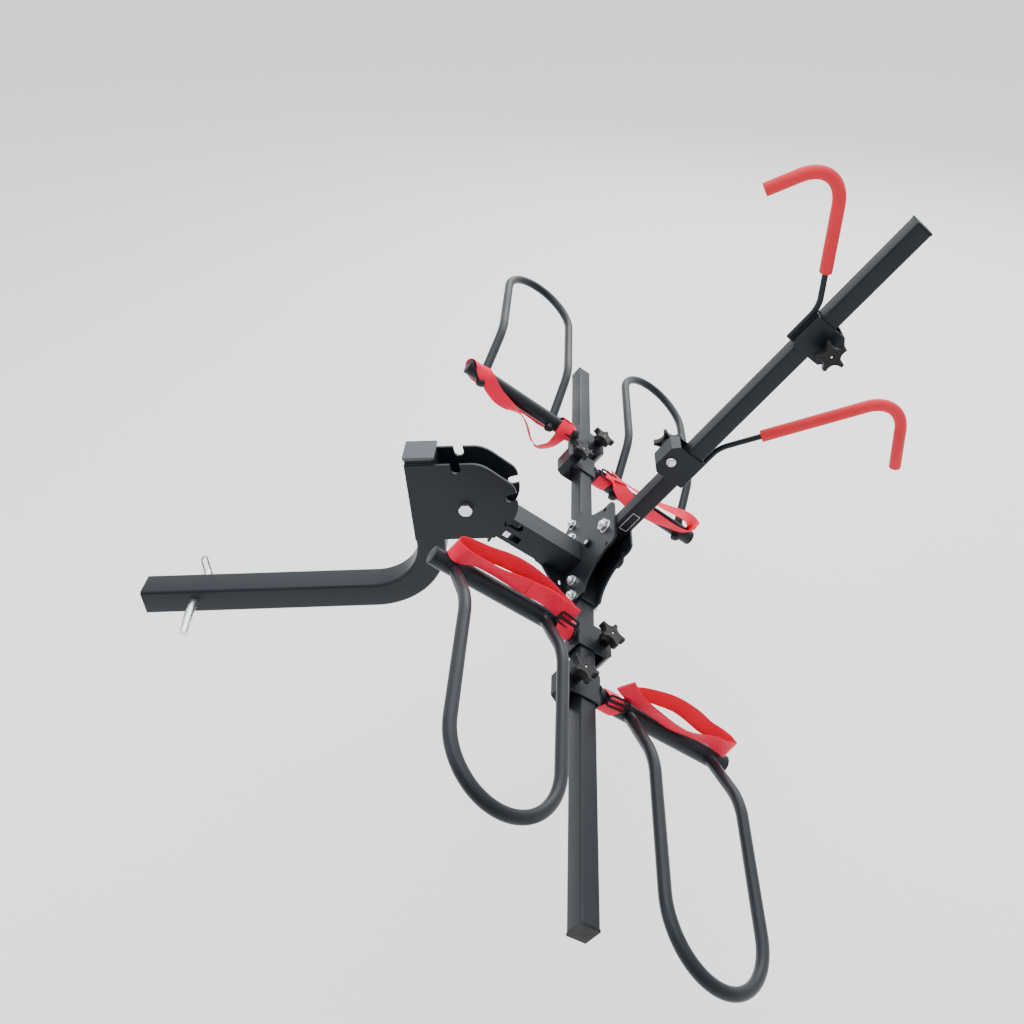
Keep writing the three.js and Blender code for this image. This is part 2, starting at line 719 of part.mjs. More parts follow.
// One wheel holder, centred where its clamp sits on the crossbar. It is built with the spine
// towards +x and the hoop towards +y, and mirrored to the side that it belongs on.
function buildHolder(group, { name, side, reach }) {
  const add = (piece, geometry, material) =>
    place(group, `${name}_${piece}`, mirrored(geometry, side, reach), material);
  add('clamp', clampSheet(CLAMP_WEB, CLAMP_EAR, CLAMP_BOLT, CLAMP_HEIGHT), materials.steel);
  add('spine', holderSpine(), materials.steel);
  add('hoop', holderHoop(), materials.steel);
  add('strap', holderStrap(), materials.webbing);
  add('buckle', holderBuckle(), materials.plastic);
  const knob = place(group, `${name}_knob`, holderKnob(), materials.plastic);
  knob.position.x = -side * CLAMP_BOLT;
}

// ---------------------------------------------------------------- assembly

function subgroup(parent, x, y, z) {
  const group = new THREE.Group();
  group.position.set(x, y, z);
  parent.add(group);
  return group;
}

const rack = new THREE.Group();
buildHitch(rack);
buildHitchPin(rack);

const tilting = subgroup(rack, PIVOT_X, 0, PIVOT_Z);
tilting.rotation.y = THREE.MathUtils.degToRad(TILT_DEG);
buildArm(tilting);

const atBar = subgroup(tilting, BAR_U, 0, BAR_W);
buildBar(atBar);
buildMast(atBar);
HOOKS.forEach((hook) => buildHook(subgroup(atBar, 0, 0, hook.w), hook));
HOLDERS.forEach((holder) => buildHolder(subgroup(atBar, 0, holder.y, 0), holder));

export default rack;
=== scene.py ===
"""A hitch mounted bike rack: its finished pieces and materials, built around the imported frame.

Metres, in the frame's own axes: +X away from the vehicle, +Y across it, +Z up. Past the tilt pivot
everything is placed in the arm's axes: u along the arm, y across it, w square to both.
"""

import json
import math

import bpy
from mathutils import Matrix, Vector


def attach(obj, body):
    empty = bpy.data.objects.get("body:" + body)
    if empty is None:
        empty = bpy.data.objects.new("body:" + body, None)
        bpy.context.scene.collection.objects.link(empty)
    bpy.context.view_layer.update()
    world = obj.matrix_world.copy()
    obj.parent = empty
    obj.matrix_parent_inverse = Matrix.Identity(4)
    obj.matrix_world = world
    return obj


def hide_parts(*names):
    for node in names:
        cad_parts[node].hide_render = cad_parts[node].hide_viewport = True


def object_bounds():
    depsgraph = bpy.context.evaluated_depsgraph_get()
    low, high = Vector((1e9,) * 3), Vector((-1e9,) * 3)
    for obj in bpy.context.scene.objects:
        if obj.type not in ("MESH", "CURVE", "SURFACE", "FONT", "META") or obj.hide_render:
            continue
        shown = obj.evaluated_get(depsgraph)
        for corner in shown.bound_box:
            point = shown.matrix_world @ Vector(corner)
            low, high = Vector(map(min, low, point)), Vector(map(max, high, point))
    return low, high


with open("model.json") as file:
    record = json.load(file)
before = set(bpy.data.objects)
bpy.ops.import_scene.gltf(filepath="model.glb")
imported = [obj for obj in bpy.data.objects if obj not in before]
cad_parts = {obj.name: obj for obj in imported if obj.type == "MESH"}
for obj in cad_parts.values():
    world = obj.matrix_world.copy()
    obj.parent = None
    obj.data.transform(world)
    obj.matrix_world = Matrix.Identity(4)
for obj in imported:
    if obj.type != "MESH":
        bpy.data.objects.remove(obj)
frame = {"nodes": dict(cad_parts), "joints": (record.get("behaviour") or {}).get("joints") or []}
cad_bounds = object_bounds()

MM = 0.001

# -------------------- places taken from the frame

JOINTS = {joint["name"]: joint for joint in frame["joints"]}
AXIS_U = Vector(JOINTS["mast_fold"]["axis"]).normalized()
AXIS_W = Vector(JOINTS["upper_hook_slide"]["axis"]).normalized()
AXIS_Y = Vector((0, 1, 0))
PIVOT = Vector(JOINTS["tilt"]["pos_m"])
MAST_PIVOT = Vector(JOINTS["mast_fold"]["pos_m"])
MAST_PIVOT_W = 96 * MM  # above the crossbar's centre
BAR_CENTRE = MAST_PIVOT - MAST_PIVOT_W * AXIS_W
HOLDER_SIDES = {"near_front": (-1, -1), "near_rear": (1, -1), "far_rear": (1, 1), "far_front": (-1, 1)}
CLAMP_BOLT = 29 * MM  # bar centre to a holder's clamp screw
HOOK_BOLT = 28 * MM  # mast centre to a hook's clamp bolt
CLAMP_OUTSIDE, KNOB_CLEARANCE = 19.2 * MM, 2 * MM  # tube centre to clamp's face, and on to the knob

# sizes that the finished pieces share with the frame
SHANK, SHANK_WALL, SHANK_BEHIND_PIN = 50.8 * MM, 5 * MM, 90 * MM
UPRIGHT_X, UPRIGHT_TOP, BEND_RADIUS = 440 * MM, 293 * MM, 115 * MM
BAR, BAR_WALL = 31.75 * MM, 2.5 * MM
BAR_LENGTH = 1450 * MM
MAST_FOOT_W, MAST_TOP_W = 24 * MM, 828 * MM
BRACKET_FACE = BAR / 2 + 4.5 * MM + 0.6 * MM  # bar centre to where a bolt head sits
BRACKET_BOLTS = (-103 * MM, -61 * MM, 61 * MM, 103 * MM)  # along the crossbar, from its middle
LOCK_PIN_W = 46 * MM  # above the crossbar's centre
SPINE_RADIUS, SPINE_END, SPINE_W = 16 * MM, 301 * MM, 5 * MM
SPINE_START = 22.3 * MM
HOOP_TUBE, HOOP_FLAT_W, HOOP_REACH = 9.6 * MM, 63 * MM, 460 * MM
HOOP_LEGS = (86 * MM, 262 * MM)
HOOP_INSIDE = -21 * MM  # where a leg's lower end stands out of the spine
HOOP_KNEE = 130 * MM
HOOP_SLOPE = (HOOP_FLAT_W - SPINE_W) / HOOP_KNEE
HOOK_ROD, SLEEVE_RADIUS = 5 * MM, 10.5 * MM
KNOB_RADIUS, KNOB_LOBE, KNOB_HUB = 26 * MM, 6 * MM, 11 * MM
KNOB_LOW, KNOB_HIGH, STAR_STEPS = 14 * MM, 27 * MM, 120
STUD_RADIUS = 4 * MM
PIN_RADIUS = 7.9 * MM
STRAP_WIDTH, STRAP_THICK = 32 * MM, 1.7 * MM
ANCHOR_A, ANCHOR_WIDTH = 46 * MM, 30 * MM  # the buckle's band: its place on the spine, and its width

# Which way along u each hook reaches and its knob faces across y. In mm: how far up the slope the
# sleeve starts, how far the rod's bends reach, and its corners (u, w) from the mast's centre.
HOOKS = {
    "upper": dict(side=-1, knob_side=-1, start=57, reaches=(15, 75),
                  corners=[(27, -30), (27, 38), (165, 231), (224, 118)]),
    "lower": dict(side=1, knob_side=1, start=75, reaches=(15, 66),
                  corners=[(27, -20), (27, 63), (204, 335), (299, 226)]),
}


def axes_matrix(origin, x, y, z):
    """The matrix that takes local x, y and z to the given directions at the origin."""
    matrix = Matrix((x, y, z)).transposed().to_4x4()
    matrix.translation = origin
    return matrix


def arm_axes(origin):
    return axes_matrix(origin, AXIS_U, AXIS_Y, AXIS_W)


def holder_matrix(name):
    """A holder's own axes: x out along its spine, y towards its hoop, z along w."""
    side, reach = HOLDER_SIDES[name]
    centre = Vector(JOINTS[f"{name}_knob_turn"]["pos_m"]) + side * CLAMP_BOLT * AXIS_U
    return axes_matrix(centre, side * AXIS_U, reach * AXIS_Y, AXIS_W)


BAR_AXES = arm_axes(BAR_CENTRE)

# -------------------- materials


def new_material(name, color, roughness, metallic=0.0, specular=0.5):
    material = bpy.data.materials.new(name)
    material.use_nodes = True
    shader = material.node_tree.nodes["Principled BSDF"]
    shader.inputs["Base Color"].default_value = (*color, 1)
    shader.inputs["Roughness"].default_value = roughness
    shader.inputs["Metallic"].default_value = metallic
    shader.inputs["Specular IOR Level"].default_value = specular
    return material, material.node_tree, shader


def add_node(tree, kind, **values):
    """A shader node: values name its inputs, or its own properties where it has no such input."""
    node = tree.nodes.new(kind)
    for key, value in values.items():
        label = key.replace("_", " ").title() if not key.isupper() else key
        if label in node.inputs:
            node.inputs[label].default_value = value
        else:
            setattr(node, key, value)
    return node


def object_coordinates(tree):
    return add_node(tree, "ShaderNodeTexCoord").outputs["Object"]


def noise(tree, scale, detail=3.0, roughness=0.5, vector=None):
    node = add_node(tree, "ShaderNodeTexNoise", scale=scale, detail=detail, roughness=roughness)
    tree.links.new(vector or object_coordinates(tree), node.inputs["Vector"])
    return node.outputs["Fac"]


def ramp(tree, factor, low, high, low_value, high_value):
    """Takes a factor from low..high to low_value..high_value, which may be numbers."""
    node = add_node(tree, "ShaderNodeMapRange")
    tree.links.new(factor, node.inputs["Value"])
    values = (low, high, low_value, high_value)
    for label, value in zip(("From Min", "From Max", "To Min", "To Max"), values):
        node.inputs[label].default_value = value
    return node.outputs["Result"]


def mix_colors(tree, factor, first, second):
    node = add_node(tree, "ShaderNodeMix", data_type="RGBA")
    tree.links.new(factor, node.inputs["Factor"])
    for label, color in (("A", first), ("B", second)):
        socket = next(s for s in node.inputs if s.name == label and s.type == "RGBA")
        if hasattr(color, "__len__"):
            socket.default_value = (*color, 1)
        else:
            tree.links.new(color, socket)
    return next(s for s in node.outputs if s.type == "RGBA")


def bump(tree, shader, height, strength, distance):
    node = add_node(tree, "ShaderNodeBump", strength=strength, distance=distance)
    tree.links.new(height, node.inputs["Height"])
    tree.links.new(node.outputs["Normal"], shader.inputs["Normal"])


def tint(tree, shader, factor, first, second):
    """Gives the shader a base colour between the first and the second, by the factor."""
    tree.links.new(mix_colors(tree, factor, first, second), shader.inputs["Base Color"])


def calculate(tree, operation, first, second=None):
    """A maths node's result: first is a socket, and second a socket, a number or nothing."""
    node = add_node(tree, "ShaderNodeMath", operation=operation)
    tree.links.new(first, node.inputs[0])
    if isinstance(second, float):
        node.inputs[1].default_value = second
    elif second is not None:
        tree.links.new(second, node.inputs[1])
    return node.outputs[0]


def powder_coat():
    """Black powder coat: an orange-peel skin with fine texture and a few duller patches."""
    material, tree, shader = new_material("powder_coat", (0.0075, 0.009, 0.0115), 0.38, specular=0.27)
    shader.inputs["Specular Tint"].default_value = (0.86, 0.94, 1.0, 1)
    patches = noise(tree, 9.0, detail=4.0)
    tint(tree, shader, ramp(tree, patches, 0.35, 0.7, 0.0, 1.0),
         (0.006, 0.0073, 0.0098), (0.0092, 0.011, 0.0142))
    tree.links.new(ramp(tree, patches, 0.3, 0.7, 0.33, 0.46), shader.inputs["Roughness"])
    grain = noise(tree, 900.0, detail=2.0)
    peel = noise(tree, 260.0, detail=1.0)
    bump(tree, shader, calculate(tree, "ADD", grain, peel), 0.22, 0.0006)
    return material


def moulded_plastic():
    """Black nylon with a fine grain and slightly uneven gloss."""
    material, tree, shader = new_material("moulded_plastic", (0.005, 0.0055, 0.0065), 0.45, specular=0.24)
    uneven = noise(tree, 40.0)
    tree.links.new(ramp(tree, uneven, 0.3, 0.7, 0.4, 0.58), shader.inputs["Roughness"])
    tint(tree, shader, uneven, (0.004, 0.0044, 0.0052), (0.0075, 0.008, 0.009))
    bump(tree, shader, noise(tree, 1400.0, detail=1.0), 0.18, 0.0004)
    return material


def grey_cap_plastic():
    """The upright's cap: a dark grey-blue moulding with a satin top."""
    material, tree, shader = new_material("grey_cap_plastic", (0.03, 0.036, 0.048), 0.34, specular=0.6)
    tint(tree, shader, noise(tree, 30.0), (0.026, 0.031, 0.042), (0.036, 0.043, 0.056))
    bump(tree, shader, noise(tree, 1300.0, detail=1.0), 0.12, 0.0003)
    return material


def zinc_plate():
    """Bright zinc plating with the soft mottling and fine grain that fasteners have."""
    material, tree, shader = new_material("zinc_plate", (0.74, 0.76, 0.79), 0.3, metallic=1.0)
    mottle = noise(tree, 220.0, detail=4.0)
    tint(tree, shader, ramp(tree, mottle, 0.3, 0.7, 0.0, 1.0), (0.62, 0.645, 0.68), (0.83, 0.84, 0.85))
    tree.links.new(ramp(tree, mottle, 0.3, 0.7, 0.22, 0.42), shader.inputs["Roughness"])
    bump(tree, shader, noise(tree, 1800.0, detail=2.0), 0.12, 0.0003)
    return material


def foam_rubber():
    """Red foam: a matt skin with small pores and faint unevenness."""
    material, tree, shader = new_material("foam_rubber", (0.6, 0.016, 0.028), 0.62, specular=0.3)
    shade = noise(tree, 25.0, detail=3.0)
    tint(tree, shader, ramp(tree, shade, 0.3, 0.7, 0.0, 1.0), (0.6, 0.014, 0.027), (0.67, 0.019, 0.034))
    pores = add_node(tree, "ShaderNodeTexVoronoi", scale=900.0)
    tree.links.new(object_coordinates(tree), pores.inputs["Vector"])
    bump(tree, shader, pores.outputs["Distance"], 0.35, 0.0006)
    return material


def woven_webbing():
    """Red polyester webbing: ribs along it, crossed by picks, with brighter worn patches.

    The pieces' UV maps give metres across and along the webbing.
    """
    material, tree, shader = new_material("woven_webbing", (0.6, 0.004, 0.02), 0.6, specular=0.2)
    shader.inputs["Sheen Weight"].default_value = 0.06
    shader.inputs["Sheen Roughness"].default_value = 0.3
    split = add_node(tree, "ShaderNodeSeparateXYZ")
    tree.links.new(add_node(tree, "ShaderNodeTexCoord").outputs["UV"], split.inputs[0])
    across, along = split.outputs["X"], split.outputs["Y"]

    def wave(source, turns_per_metre, shift=None):
        angle = calculate(tree, "MULTIPLY", source, turns_per_metre * 2 * math.pi)
        if shift is not None:
            angle = calculate(tree, "ADD", angle, shift)
        return calculate(tree, "SINE", angle)

    ribs = wave(across, 520.0)
    picks = wave(along, 430.0, shift=ribs)
    threads = ramp(tree, calculate(tree, "MULTIPLY", ribs, picks), -1.0, 1.0, 0.0, 1.0)
    wear = noise(tree, 24.0, detail=4.0)
    fresh = mix_colors(tree, threads, (0.66, 0.001, 0.026), (0.9, 0.002, 0.052))
    tint(tree, shader, ramp(tree, wear, 0.45, 0.75, 0.0, 0.4), fresh, (0.93, 0.008, 0.085))
    bump(tree, shader, threads, 0.5, 0.0005)
    return material


def label_print():
    """The plain outline on the mast: pale print with a little wear."""
    material, tree, shader = new_material("label_print", (0.6, 0.62, 0.64), 0.5)
    worn = noise(tree, 300.0, detail=3.0)
    tint(tree, shader, ramp(tree, worn, 0.4, 0.7, 0.0, 1.0), (0.5, 0.52, 0.54), (0.72, 0.73, 0.74))
    return material


STEEL, PLASTIC, ZINC, CAP = powder_coat(), moulded_plastic(), zinc_plate(), grey_cap_plastic()
FOAM, WEBBING, LABEL = foam_rubber(), woven_webbing(), label_print()
SLOT_MATERIALS = {"steel": STEEL, "plastic": PLASTIC, "zinc": ZINC, "foam": FOAM, "webbing": WEBBING}

# -------------------- mesh building


def new_piece(name, verts, faces, body, slot, matrix=None, replaces=(), uvs=None, sharp_deg=35,
              material=None):
    """A mesh object from points and faces, placed, shaded smooth up to an angle and set to ride.

    It has its slot's material unless another one is given.
    """
    points = [Vector(v) for v in verts]
    if matrix is not None:
        points = [matrix @ v for v in points]
        if matrix.to_3x3().determinant() < 0:
            faces = [tuple(reversed(face)) for face in faces]
            uvs = [tuple(reversed(face)) for face in uvs] if uvs else None
    mesh = bpy.data.meshes.new(name)
    mesh.from_pydata([tuple(v) for v in points], [], faces)
    if uvs:
        layer = mesh.uv_layers.new(name="webbing")
        for polygon, corners in zip(mesh.polygons, uvs):
            for loop, uv in zip(polygon.loop_indices, corners):
                layer.data[loop].uv = uv
    mesh.materials.append(material or SLOT_MATERIALS[slot])
    mesh.update()
    mesh.shade_smooth()
    mesh.set_sharp_from_angle(angle=math.radians(sharp_deg))
    piece = bpy.data.objects.new(name, mesh)
    bpy.context.scene.collection.objects.link(piece)
    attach(piece, body)
    if replaces:
        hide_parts(*replaces)
    return piece


def merge(*parts):
    """Several (points, faces) as one."""
    verts, faces = [], []
    for part_verts, part_faces in parts:
        start = len(verts)
        verts += list(part_verts)
        faces += [tuple(i + start for i in face) for face in part_faces]
    return verts, faces


def circle(radius, sides=24):
    return [(radius * math.cos(2 * math.pi * i / sides), radius * math.sin(2 * math.pi * i / sides))
            for i in range(sides)]


def rounded_square(size, radius, steps=5):
    half = size / 2 - radius
    points = []
    for quarter in range(4):
        cx = half if quarter in (0, 3) else -half
        cy = half if quarter in (0, 1) else -half
        for step in range(steps + 1):
            angle = math.pi / 2 * (quarter + step / steps)
            points.append((cx + radius * math.cos(angle), cy + radius * math.sin(angle)))
    return points


ROUND = 0.5523  # handle length that makes a cubic follow a quarter circle


def rounded_path(corners, reaches, steps=10):
    """Straight runs between corners, each rounded over its reach before and after it."""
    at = [Vector(corner) for corner in corners]
    path = [at[0]]
    for i in range(1, len(at) - 1):
        reach = reaches[i]
        before, after = reach if hasattr(reach, "__len__") else (reach, reach)
        start = at[i] + (at[i - 1] - at[i]).normalized() * before
        end = at[i] + (at[i + 1] - at[i]).normalized() * after
        near, far = start.lerp(at[i], ROUND), end.lerp(at[i], ROUND)
        for step in range(steps + 1):
            t = step / steps
            point = (start * (1 - t) ** 3 + near * 3 * t * (1 - t) ** 2
                     + far * 3 * t * t * (1 - t) + end * t ** 3)
            if (point - path[-1]).length > 0.02 * MM:
                path.append(point)
    if (at[-1] - path[-1]).length > 0.02 * MM:
        path.append(at[-1])
    return path


def path_frames(path, closed, first):
    """Two directions square to the path at each point, carried along with no twist."""
    count = len(path)
    tangents = []
    for i in range(count):
        before = path[i - 1] if i or closed else path[i]
        after = path[(i + 1) % count] if i < count - 1 or closed else path[i]
        tangents.append((after - before).normalized())
    side = Vector(first) if first else Vector((0, 0, 1)).cross(tangents[0])
    if side.length < 0.1:
        side = Vector((0, 1, 0))
    frames = []
    for tangent in tangents:
        side = (side - tangent * side.dot(tangent)).normalized()
        frames.append((side, tangent.cross(side)))
    return frames


def sweep(path, section, inner=None, scales=None, closed=False, first=None):
    """A section carried along a path, solid or with an inner wall."""
    frames = path_frames(path, closed, first)
    scales = scales or [1.0] * len(path)
    verts, faces = [], []

    def carry(outline):
        start = len(verts)
        for point, (side, up), scale in zip(path, frames, scales):
            verts.extend(point + side * (a * scale) + up * (b * scale) for a, b in outline)
        return start

    def skin(start, size, flip):
        rings = len(path) if closed else len(path) - 1
        for ring in range(rings):
            low, high = start + ring * size, start + (ring + 1) % len(path) * size
            for i in range(size):
                j = (i + 1) % size
                face = (low + i, low + j, high + j, high + i)
                faces.append(tuple(reversed(face)) if flip else face)

    size = len(section)
    outer = carry(section)
    skin(outer, size, False)
    last = (len(path) - 1) * size
    if inner:
        hollow = carry(inner)
        skin(hollow, size, True)
    if closed:
        return verts, faces
    if not inner:
        faces.append(tuple(range(outer + size - 1, outer - 1, -1)))
        faces.append(tuple(range(outer + last, outer + last + size)))
        return verts, faces
    for i in range(size):
        j = (i + 1) % size
        faces.append((outer + j, outer + i, hollow + i, hollow + j))
        faces.append((outer + last + i, outer + last + j, hollow + last + j, hollow + last + i))
    return verts, faces


def loft(rings):
    """A closed skin over rings of equal count, given from the bottom up."""
    size = len(rings[0])
    verts = [point for ring in rings for point in ring]
    faces = []
    for low in range(0, len(verts) - size, size):
        for i in range(size):
            j = (i + 1) % size
            faces.append((low + i, low + j, low + size + j, low + size + i))
    faces.append(tuple(range(size - 1, -1, -1)))
    faces.append(tuple(range(len(verts) - size, len(verts))))
    return verts, faces


def lathe(profile, sides=32):
    """A turned shape about z, from (radius, z) pairs given from the bottom up."""
    return loft([[(r * c, r * s, z) for c, s in circle(1, sides)] for r, z in profile])


def polar_ring(radius_at, z, count):
    """A ring at height z whose radius is a function of the angle."""
    turns = [(angle, radius_at(angle)) for angle in (2 * math.pi * i / count for i in range(count))]
    return [(radius * math.cos(angle), radius * math.sin(angle), z) for angle, radius in turns]


def hexagon(across, low, high):
    """A hexagon head or nut with both faces chamfered: their corners are cut back to a circle."""
    corner = across / math.sqrt(3)
    cut = 0.09 * across

    def ring(limit, z):
        def radius_at(angle):
            return min(across / 2 / math.cos((angle % (math.pi / 3)) - math.pi / 6), limit)
        return polar_ring(radius_at, z, 48)

    return loft([ring(corner * 0.9, low), ring(corner, low + cut),
                 ring(corner, high - cut), ring(corner * 0.9, high)])


def threaded_end(radius, low, high, pitch=1.4 * MM):
    """The end of a screw, with its thread as fine ridges and a pointed tip."""
    profile = [(radius * 0.88, low)]
    z = low
    while z + pitch < high - radius * 0.3:
        profile += [(radius * 0.88, z + pitch * 0.2), (radius, z + pitch * 0.6),
                    (radius * 0.88, z + pitch)]
        z += pitch
    return lathe(profile + [(radius * 0.7, high)], 24)


# -------------------- CAD nodes that stay


def finish_node(name, material, width, segments=2):
    """Gives a CAD node its material and eases its edges."""
    node = frame["nodes"][name]
    for slot in node.material_slots:
        slot.link = "OBJECT"
        slot.material = material
    weld = node.modifiers.new("weld", "WELD")
    weld.merge_threshold = 0.01 * MM
    ease = node.modifiers.new("ease", "BEVEL")
    ease.width = width
    ease.segments = segments
    ease.limit_method = "ANGLE"
    ease.angle_limit = math.radians(40)
    ease.harden_normals = False


def keep_nodes():
    for name in ("pivot_plate_near", "pivot_plate_far", "bracket_front", "bracket_rear", "arm_gusset"):
        finish_node(name, STEEL, 0.7 * MM)
    finish_node("arm_tube", STEEL, 2.6 * MM, 3)
    for name in ("crossbar_cap_near", "crossbar_cap_far", "mast_cap"):
        finish_node(name, PLASTIC, 0.9 * MM)
    finish_node("tube_cap", CAP, 1.4 * MM, 3)
    finish_node("latch_pin", STEEL, 0.9 * MM)
    finish_node("latch_bar", ZINC, 0.8 * MM)
    for name in [*HOLDER_SIDES, "upper_hook", "lower_hook"]:
        finish_node(f"{name}_clamp", STEEL, 0.8 * MM)


# -------------------- hitch


def build_hitch():
    half = SHANK / 2
    outer = rounded_square(SHANK, 6 * MM)
    inner = rounded_square(SHANK - 2 * SHANK_WALL, 2 * MM)
    path = rounded_path(
        [(-SHANK_BEHIND_PIN, 0, half), (UPRIGHT_X, 0, half), (UPRIGHT_X, 0, half + UPRIGHT_TOP)],
        [0, BEND_RADIUS, 0], steps=24)
    piece = sweep(path, outer, inner, first=(0, 1, 0))
    new_piece("bent_hitch_tube", *piece, "hitch", "steel", replaces=["hitch_tube"])
    face = PIVOT.y - half - 5.6 * MM
    bolt = merge(
        hexagon(22 * MM, -face, -face + 8 * MM),
        lathe([(7.9 * MM, face - 10 * MM), (7.9 * MM, -face)], 24),
        threaded_end(8 * MM, face - 18 * MM, face - 9.8 * MM),
    )
    turned = axes_matrix(PIVOT, Vector((1, 0, 0)), Vector((0, 0, 1)), Vector((0, -1, 0)))
    new_piece("pivot_bolt_turned", *bolt, "hitch", "zinc", turned, ["pivot_bolt"])
    nut = merge(
        hexagon(22 * MM, face - 9 * MM, face),
        lathe([(9.2 * MM, face - 12 * MM), (10.4 * MM, face - 11.4 * MM), (10.4 * MM, face - 9 * MM)], 32),
    )
    new_piece("pivot_lock_nut", *nut, "hitch", "zinc", turned, ["pivot_nut"])


def build_hitch_pin():
    half = SHANK / 2
    bend_y, handle = -half - 22 * MM, 48 * MM
    path = rounded_path(
        [(0, half + 34 * MM, half), (0, bend_y, half), (0, bend_y - handle, half - handle * 0.25)],
        [0, 10 * MM, 0], steps=12)
    # the tip is chamfered over 1.5 mm, and the handle's end is a little thinner
    lead = [path[0], path[0] + Vector((0, -1.5 * MM, 0)), *path[1:]]
    scales = [0.86, *[1.0] * (len(lead) - 2), 0.92]
    piece = sweep(lead, circle(PIN_RADIUS, 28), scales=scales)
    new_piece("bent_hitch_pin", *piece, "hitch_pin", "zinc", replaces=["hitch_pin"])
    # the clip's one leg goes through the pin, and the other comes down beside it
    leg_y, foot, top, apart = half + 24 * MM, half - 22 * MM, half + 40 * MM, 11.5 * MM
    clip = rounded_path(
        [(0, leg_y, foot), (0, leg_y, top), (apart, leg_y, top + 10 * MM), (apart, leg_y, foot)],
        [0, 8 * MM, 8 * MM, 0], steps=10)
    piece = sweep(clip, circle(1.8 * MM, 14))
    new_piece("spring_clip", *piece, "hitch_clip", "zinc", replaces=["hitch_clip"])


def weld_bead(name, path, radius, body, closed=False):
    """A rippled weld along a path: a bead that swells and narrows in turn."""
    scales = [1.0 + 0.16 * math.sin(1.7 * i) for i in range(len(path))]
    piece = sweep(path, circle(radius, 8), scales=scales, closed=closed)
    new_piece(name, *piece, body, "steel", sharp_deg=70)


def straight(start, end, spacing=2.2 * MM):
    start, end = Vector(start), Vector(end)
    steps = max(2, round((end - start).length / spacing))
    return [start.lerp(end, i / steps) for i in range(steps + 1)]


def build_hitch_welds():
    """A weld across the upright at the foot and at the head of each pivot plate."""
    left, right = UPRIGHT_X - SHANK / 2 + 1 * MM, UPRIGHT_X + SHANK / 2 - 1 * MM
    heights = {"foot": PIVOT.z - 66 * MM, "head": PIVOT.z + 90 * MM}
    for label, sign in (("near", -1), ("far", 1)):
        at = sign * (SHANK / 2 + 0.6 * MM)
        for row, height in heights.items():
            seam = straight((left, at, height), (right, at, height))
            weld_bead(f"pivot_weld_{label}_{row}", seam, 2.3 * MM, "hitch")


# -------------------- crossbar, bracket and mast


def square_bar(start, end, first):
    outer = rounded_square(BAR, 3.6 * MM)
    inner = rounded_square(BAR - 2 * BAR_WALL, 1.2 * MM)
    return sweep([Vector(start), Vector(end)], outer, inner, first=first)


def bracket_bolt(name, node, y, w, radius, across):
    """A bolt through both plates: flanged nut and the thread's end at -u, head on a washer at +u."""
    face = BRACKET_FACE
    out = radius * 1.3
    parts = merge(
        lathe([(across * 0.6, face), (across * 0.6, face + 0.9 * MM),
               (across * 0.5, face + 1.7 * MM)], 40),
        hexagon(across, face + 1.2 * MM, face + 1.2 * MM + out),
        lathe([(across * 0.42, face + out), (across * 0.36, face + out + 1.7 * MM)], 32),
        lathe([(radius * 0.97, -face - radius), (radius * 0.97, face)], 24),
        lathe([(across * 0.62, -face - 1.2 * MM), (across * 0.62, -face)], 40),
        hexagon(across, -face - 1.2 * MM - radius * 1.5, -face - 1.2 * MM),
        threaded_end(radius, face + radius * 1.2, face + radius * 2.3),
    )
    # the bolt's own z, towards the thread's end, lies along -u
    turned = BAR_AXES @ axes_matrix(
        Vector((0, y, w)), Vector((0, 0, 1)), Vector((0, 1, 0)), Vector((-1, 0, 0)))
    new_piece(name, *parts, "arm", "zinc", turned, [node])


def build_bar_and_bracket():
    half = BAR_LENGTH / 2
    piece = square_bar((0, -half, 0), (0, half, 0), (1, 0, 0))
    new_piece("square_crossbar", *piece, "arm", "steel", BAR_AXES, ["crossbar"])
    for index, y in enumerate(BRACKET_BOLTS, 1):
        bracket_bolt(f"flange_bolt_{index}", f"bracket_bolt_{index}", y, 0, 5 * MM, 17 * MM)
    bracket_bolt("mast_hinge_bolt", "mast_pivot_bolt", 0, MAST_PIVOT_W, 6 * MM, 22 * MM)
    start = BAR / 2 + 0.6 * MM
    along_u = BAR_AXES @ axes_matrix(
        Vector((0, 0, LOCK_PIN_W)), Vector((0, 1, 0)), Vector((0, 0, 1)), Vector((1, 0, 0)))
    # the lock pin's stem, collar, stem again and round pull
    turnings = [(3.4, 0), (4, 0.8), (4, 12), (8.4, 12.1), (9, 12.8), (9, 17.3), (8.4, 18), (4, 18.1),
                (4, 30), (12, 30.1), (13, 31.2), (13, 35.6), (11.4, 38)]
    pin = lathe([(radius * MM, start + u * MM) for radius, u in turnings], 40)
    new_piece("turned_lock_pin", *pin, "lock_pin", "plastic", along_u, ["mast_lock_pin"])
    # the boss on the other plate, and the tip that shows in it
    face = -BRACKET_FACE
    bush = lathe([(7.4 * MM, face - 6 * MM), (8 * MM, face - 5.3 * MM), (8 * MM, face - 0.6 * MM),
                  (7.4 * MM, face)], 40)
    new_piece("lock_boss", *bush, "arm", "steel", along_u, ["mast_lock_bush"])
    dimple = lathe([(4.1 * MM, face - 6.5 * MM), (4.4 * MM, face - 5.9 * MM)], 24)
    new_piece("lock_boss_tip", *dimple, "arm", "zinc", along_u)


def build_latch_carriage():
    """The folded carriage inside the arm that ties the latch pin to the square bar behind it."""
    size, wall = 41 * MM, 2.5 * MM
    outline, inner = rounded_square(size, 3 * MM), rounded_square(size - 2 * wall, 1.5 * MM)
    ends = [Vector((u * MM, 0, 3 * MM)) for u in (70, 100)]
    piece = sweep(ends, outline, inner, first=(0, 1, 0))
    new_piece("latch_carriage", *piece, "latch", "steel", arm_axes(PIVOT))


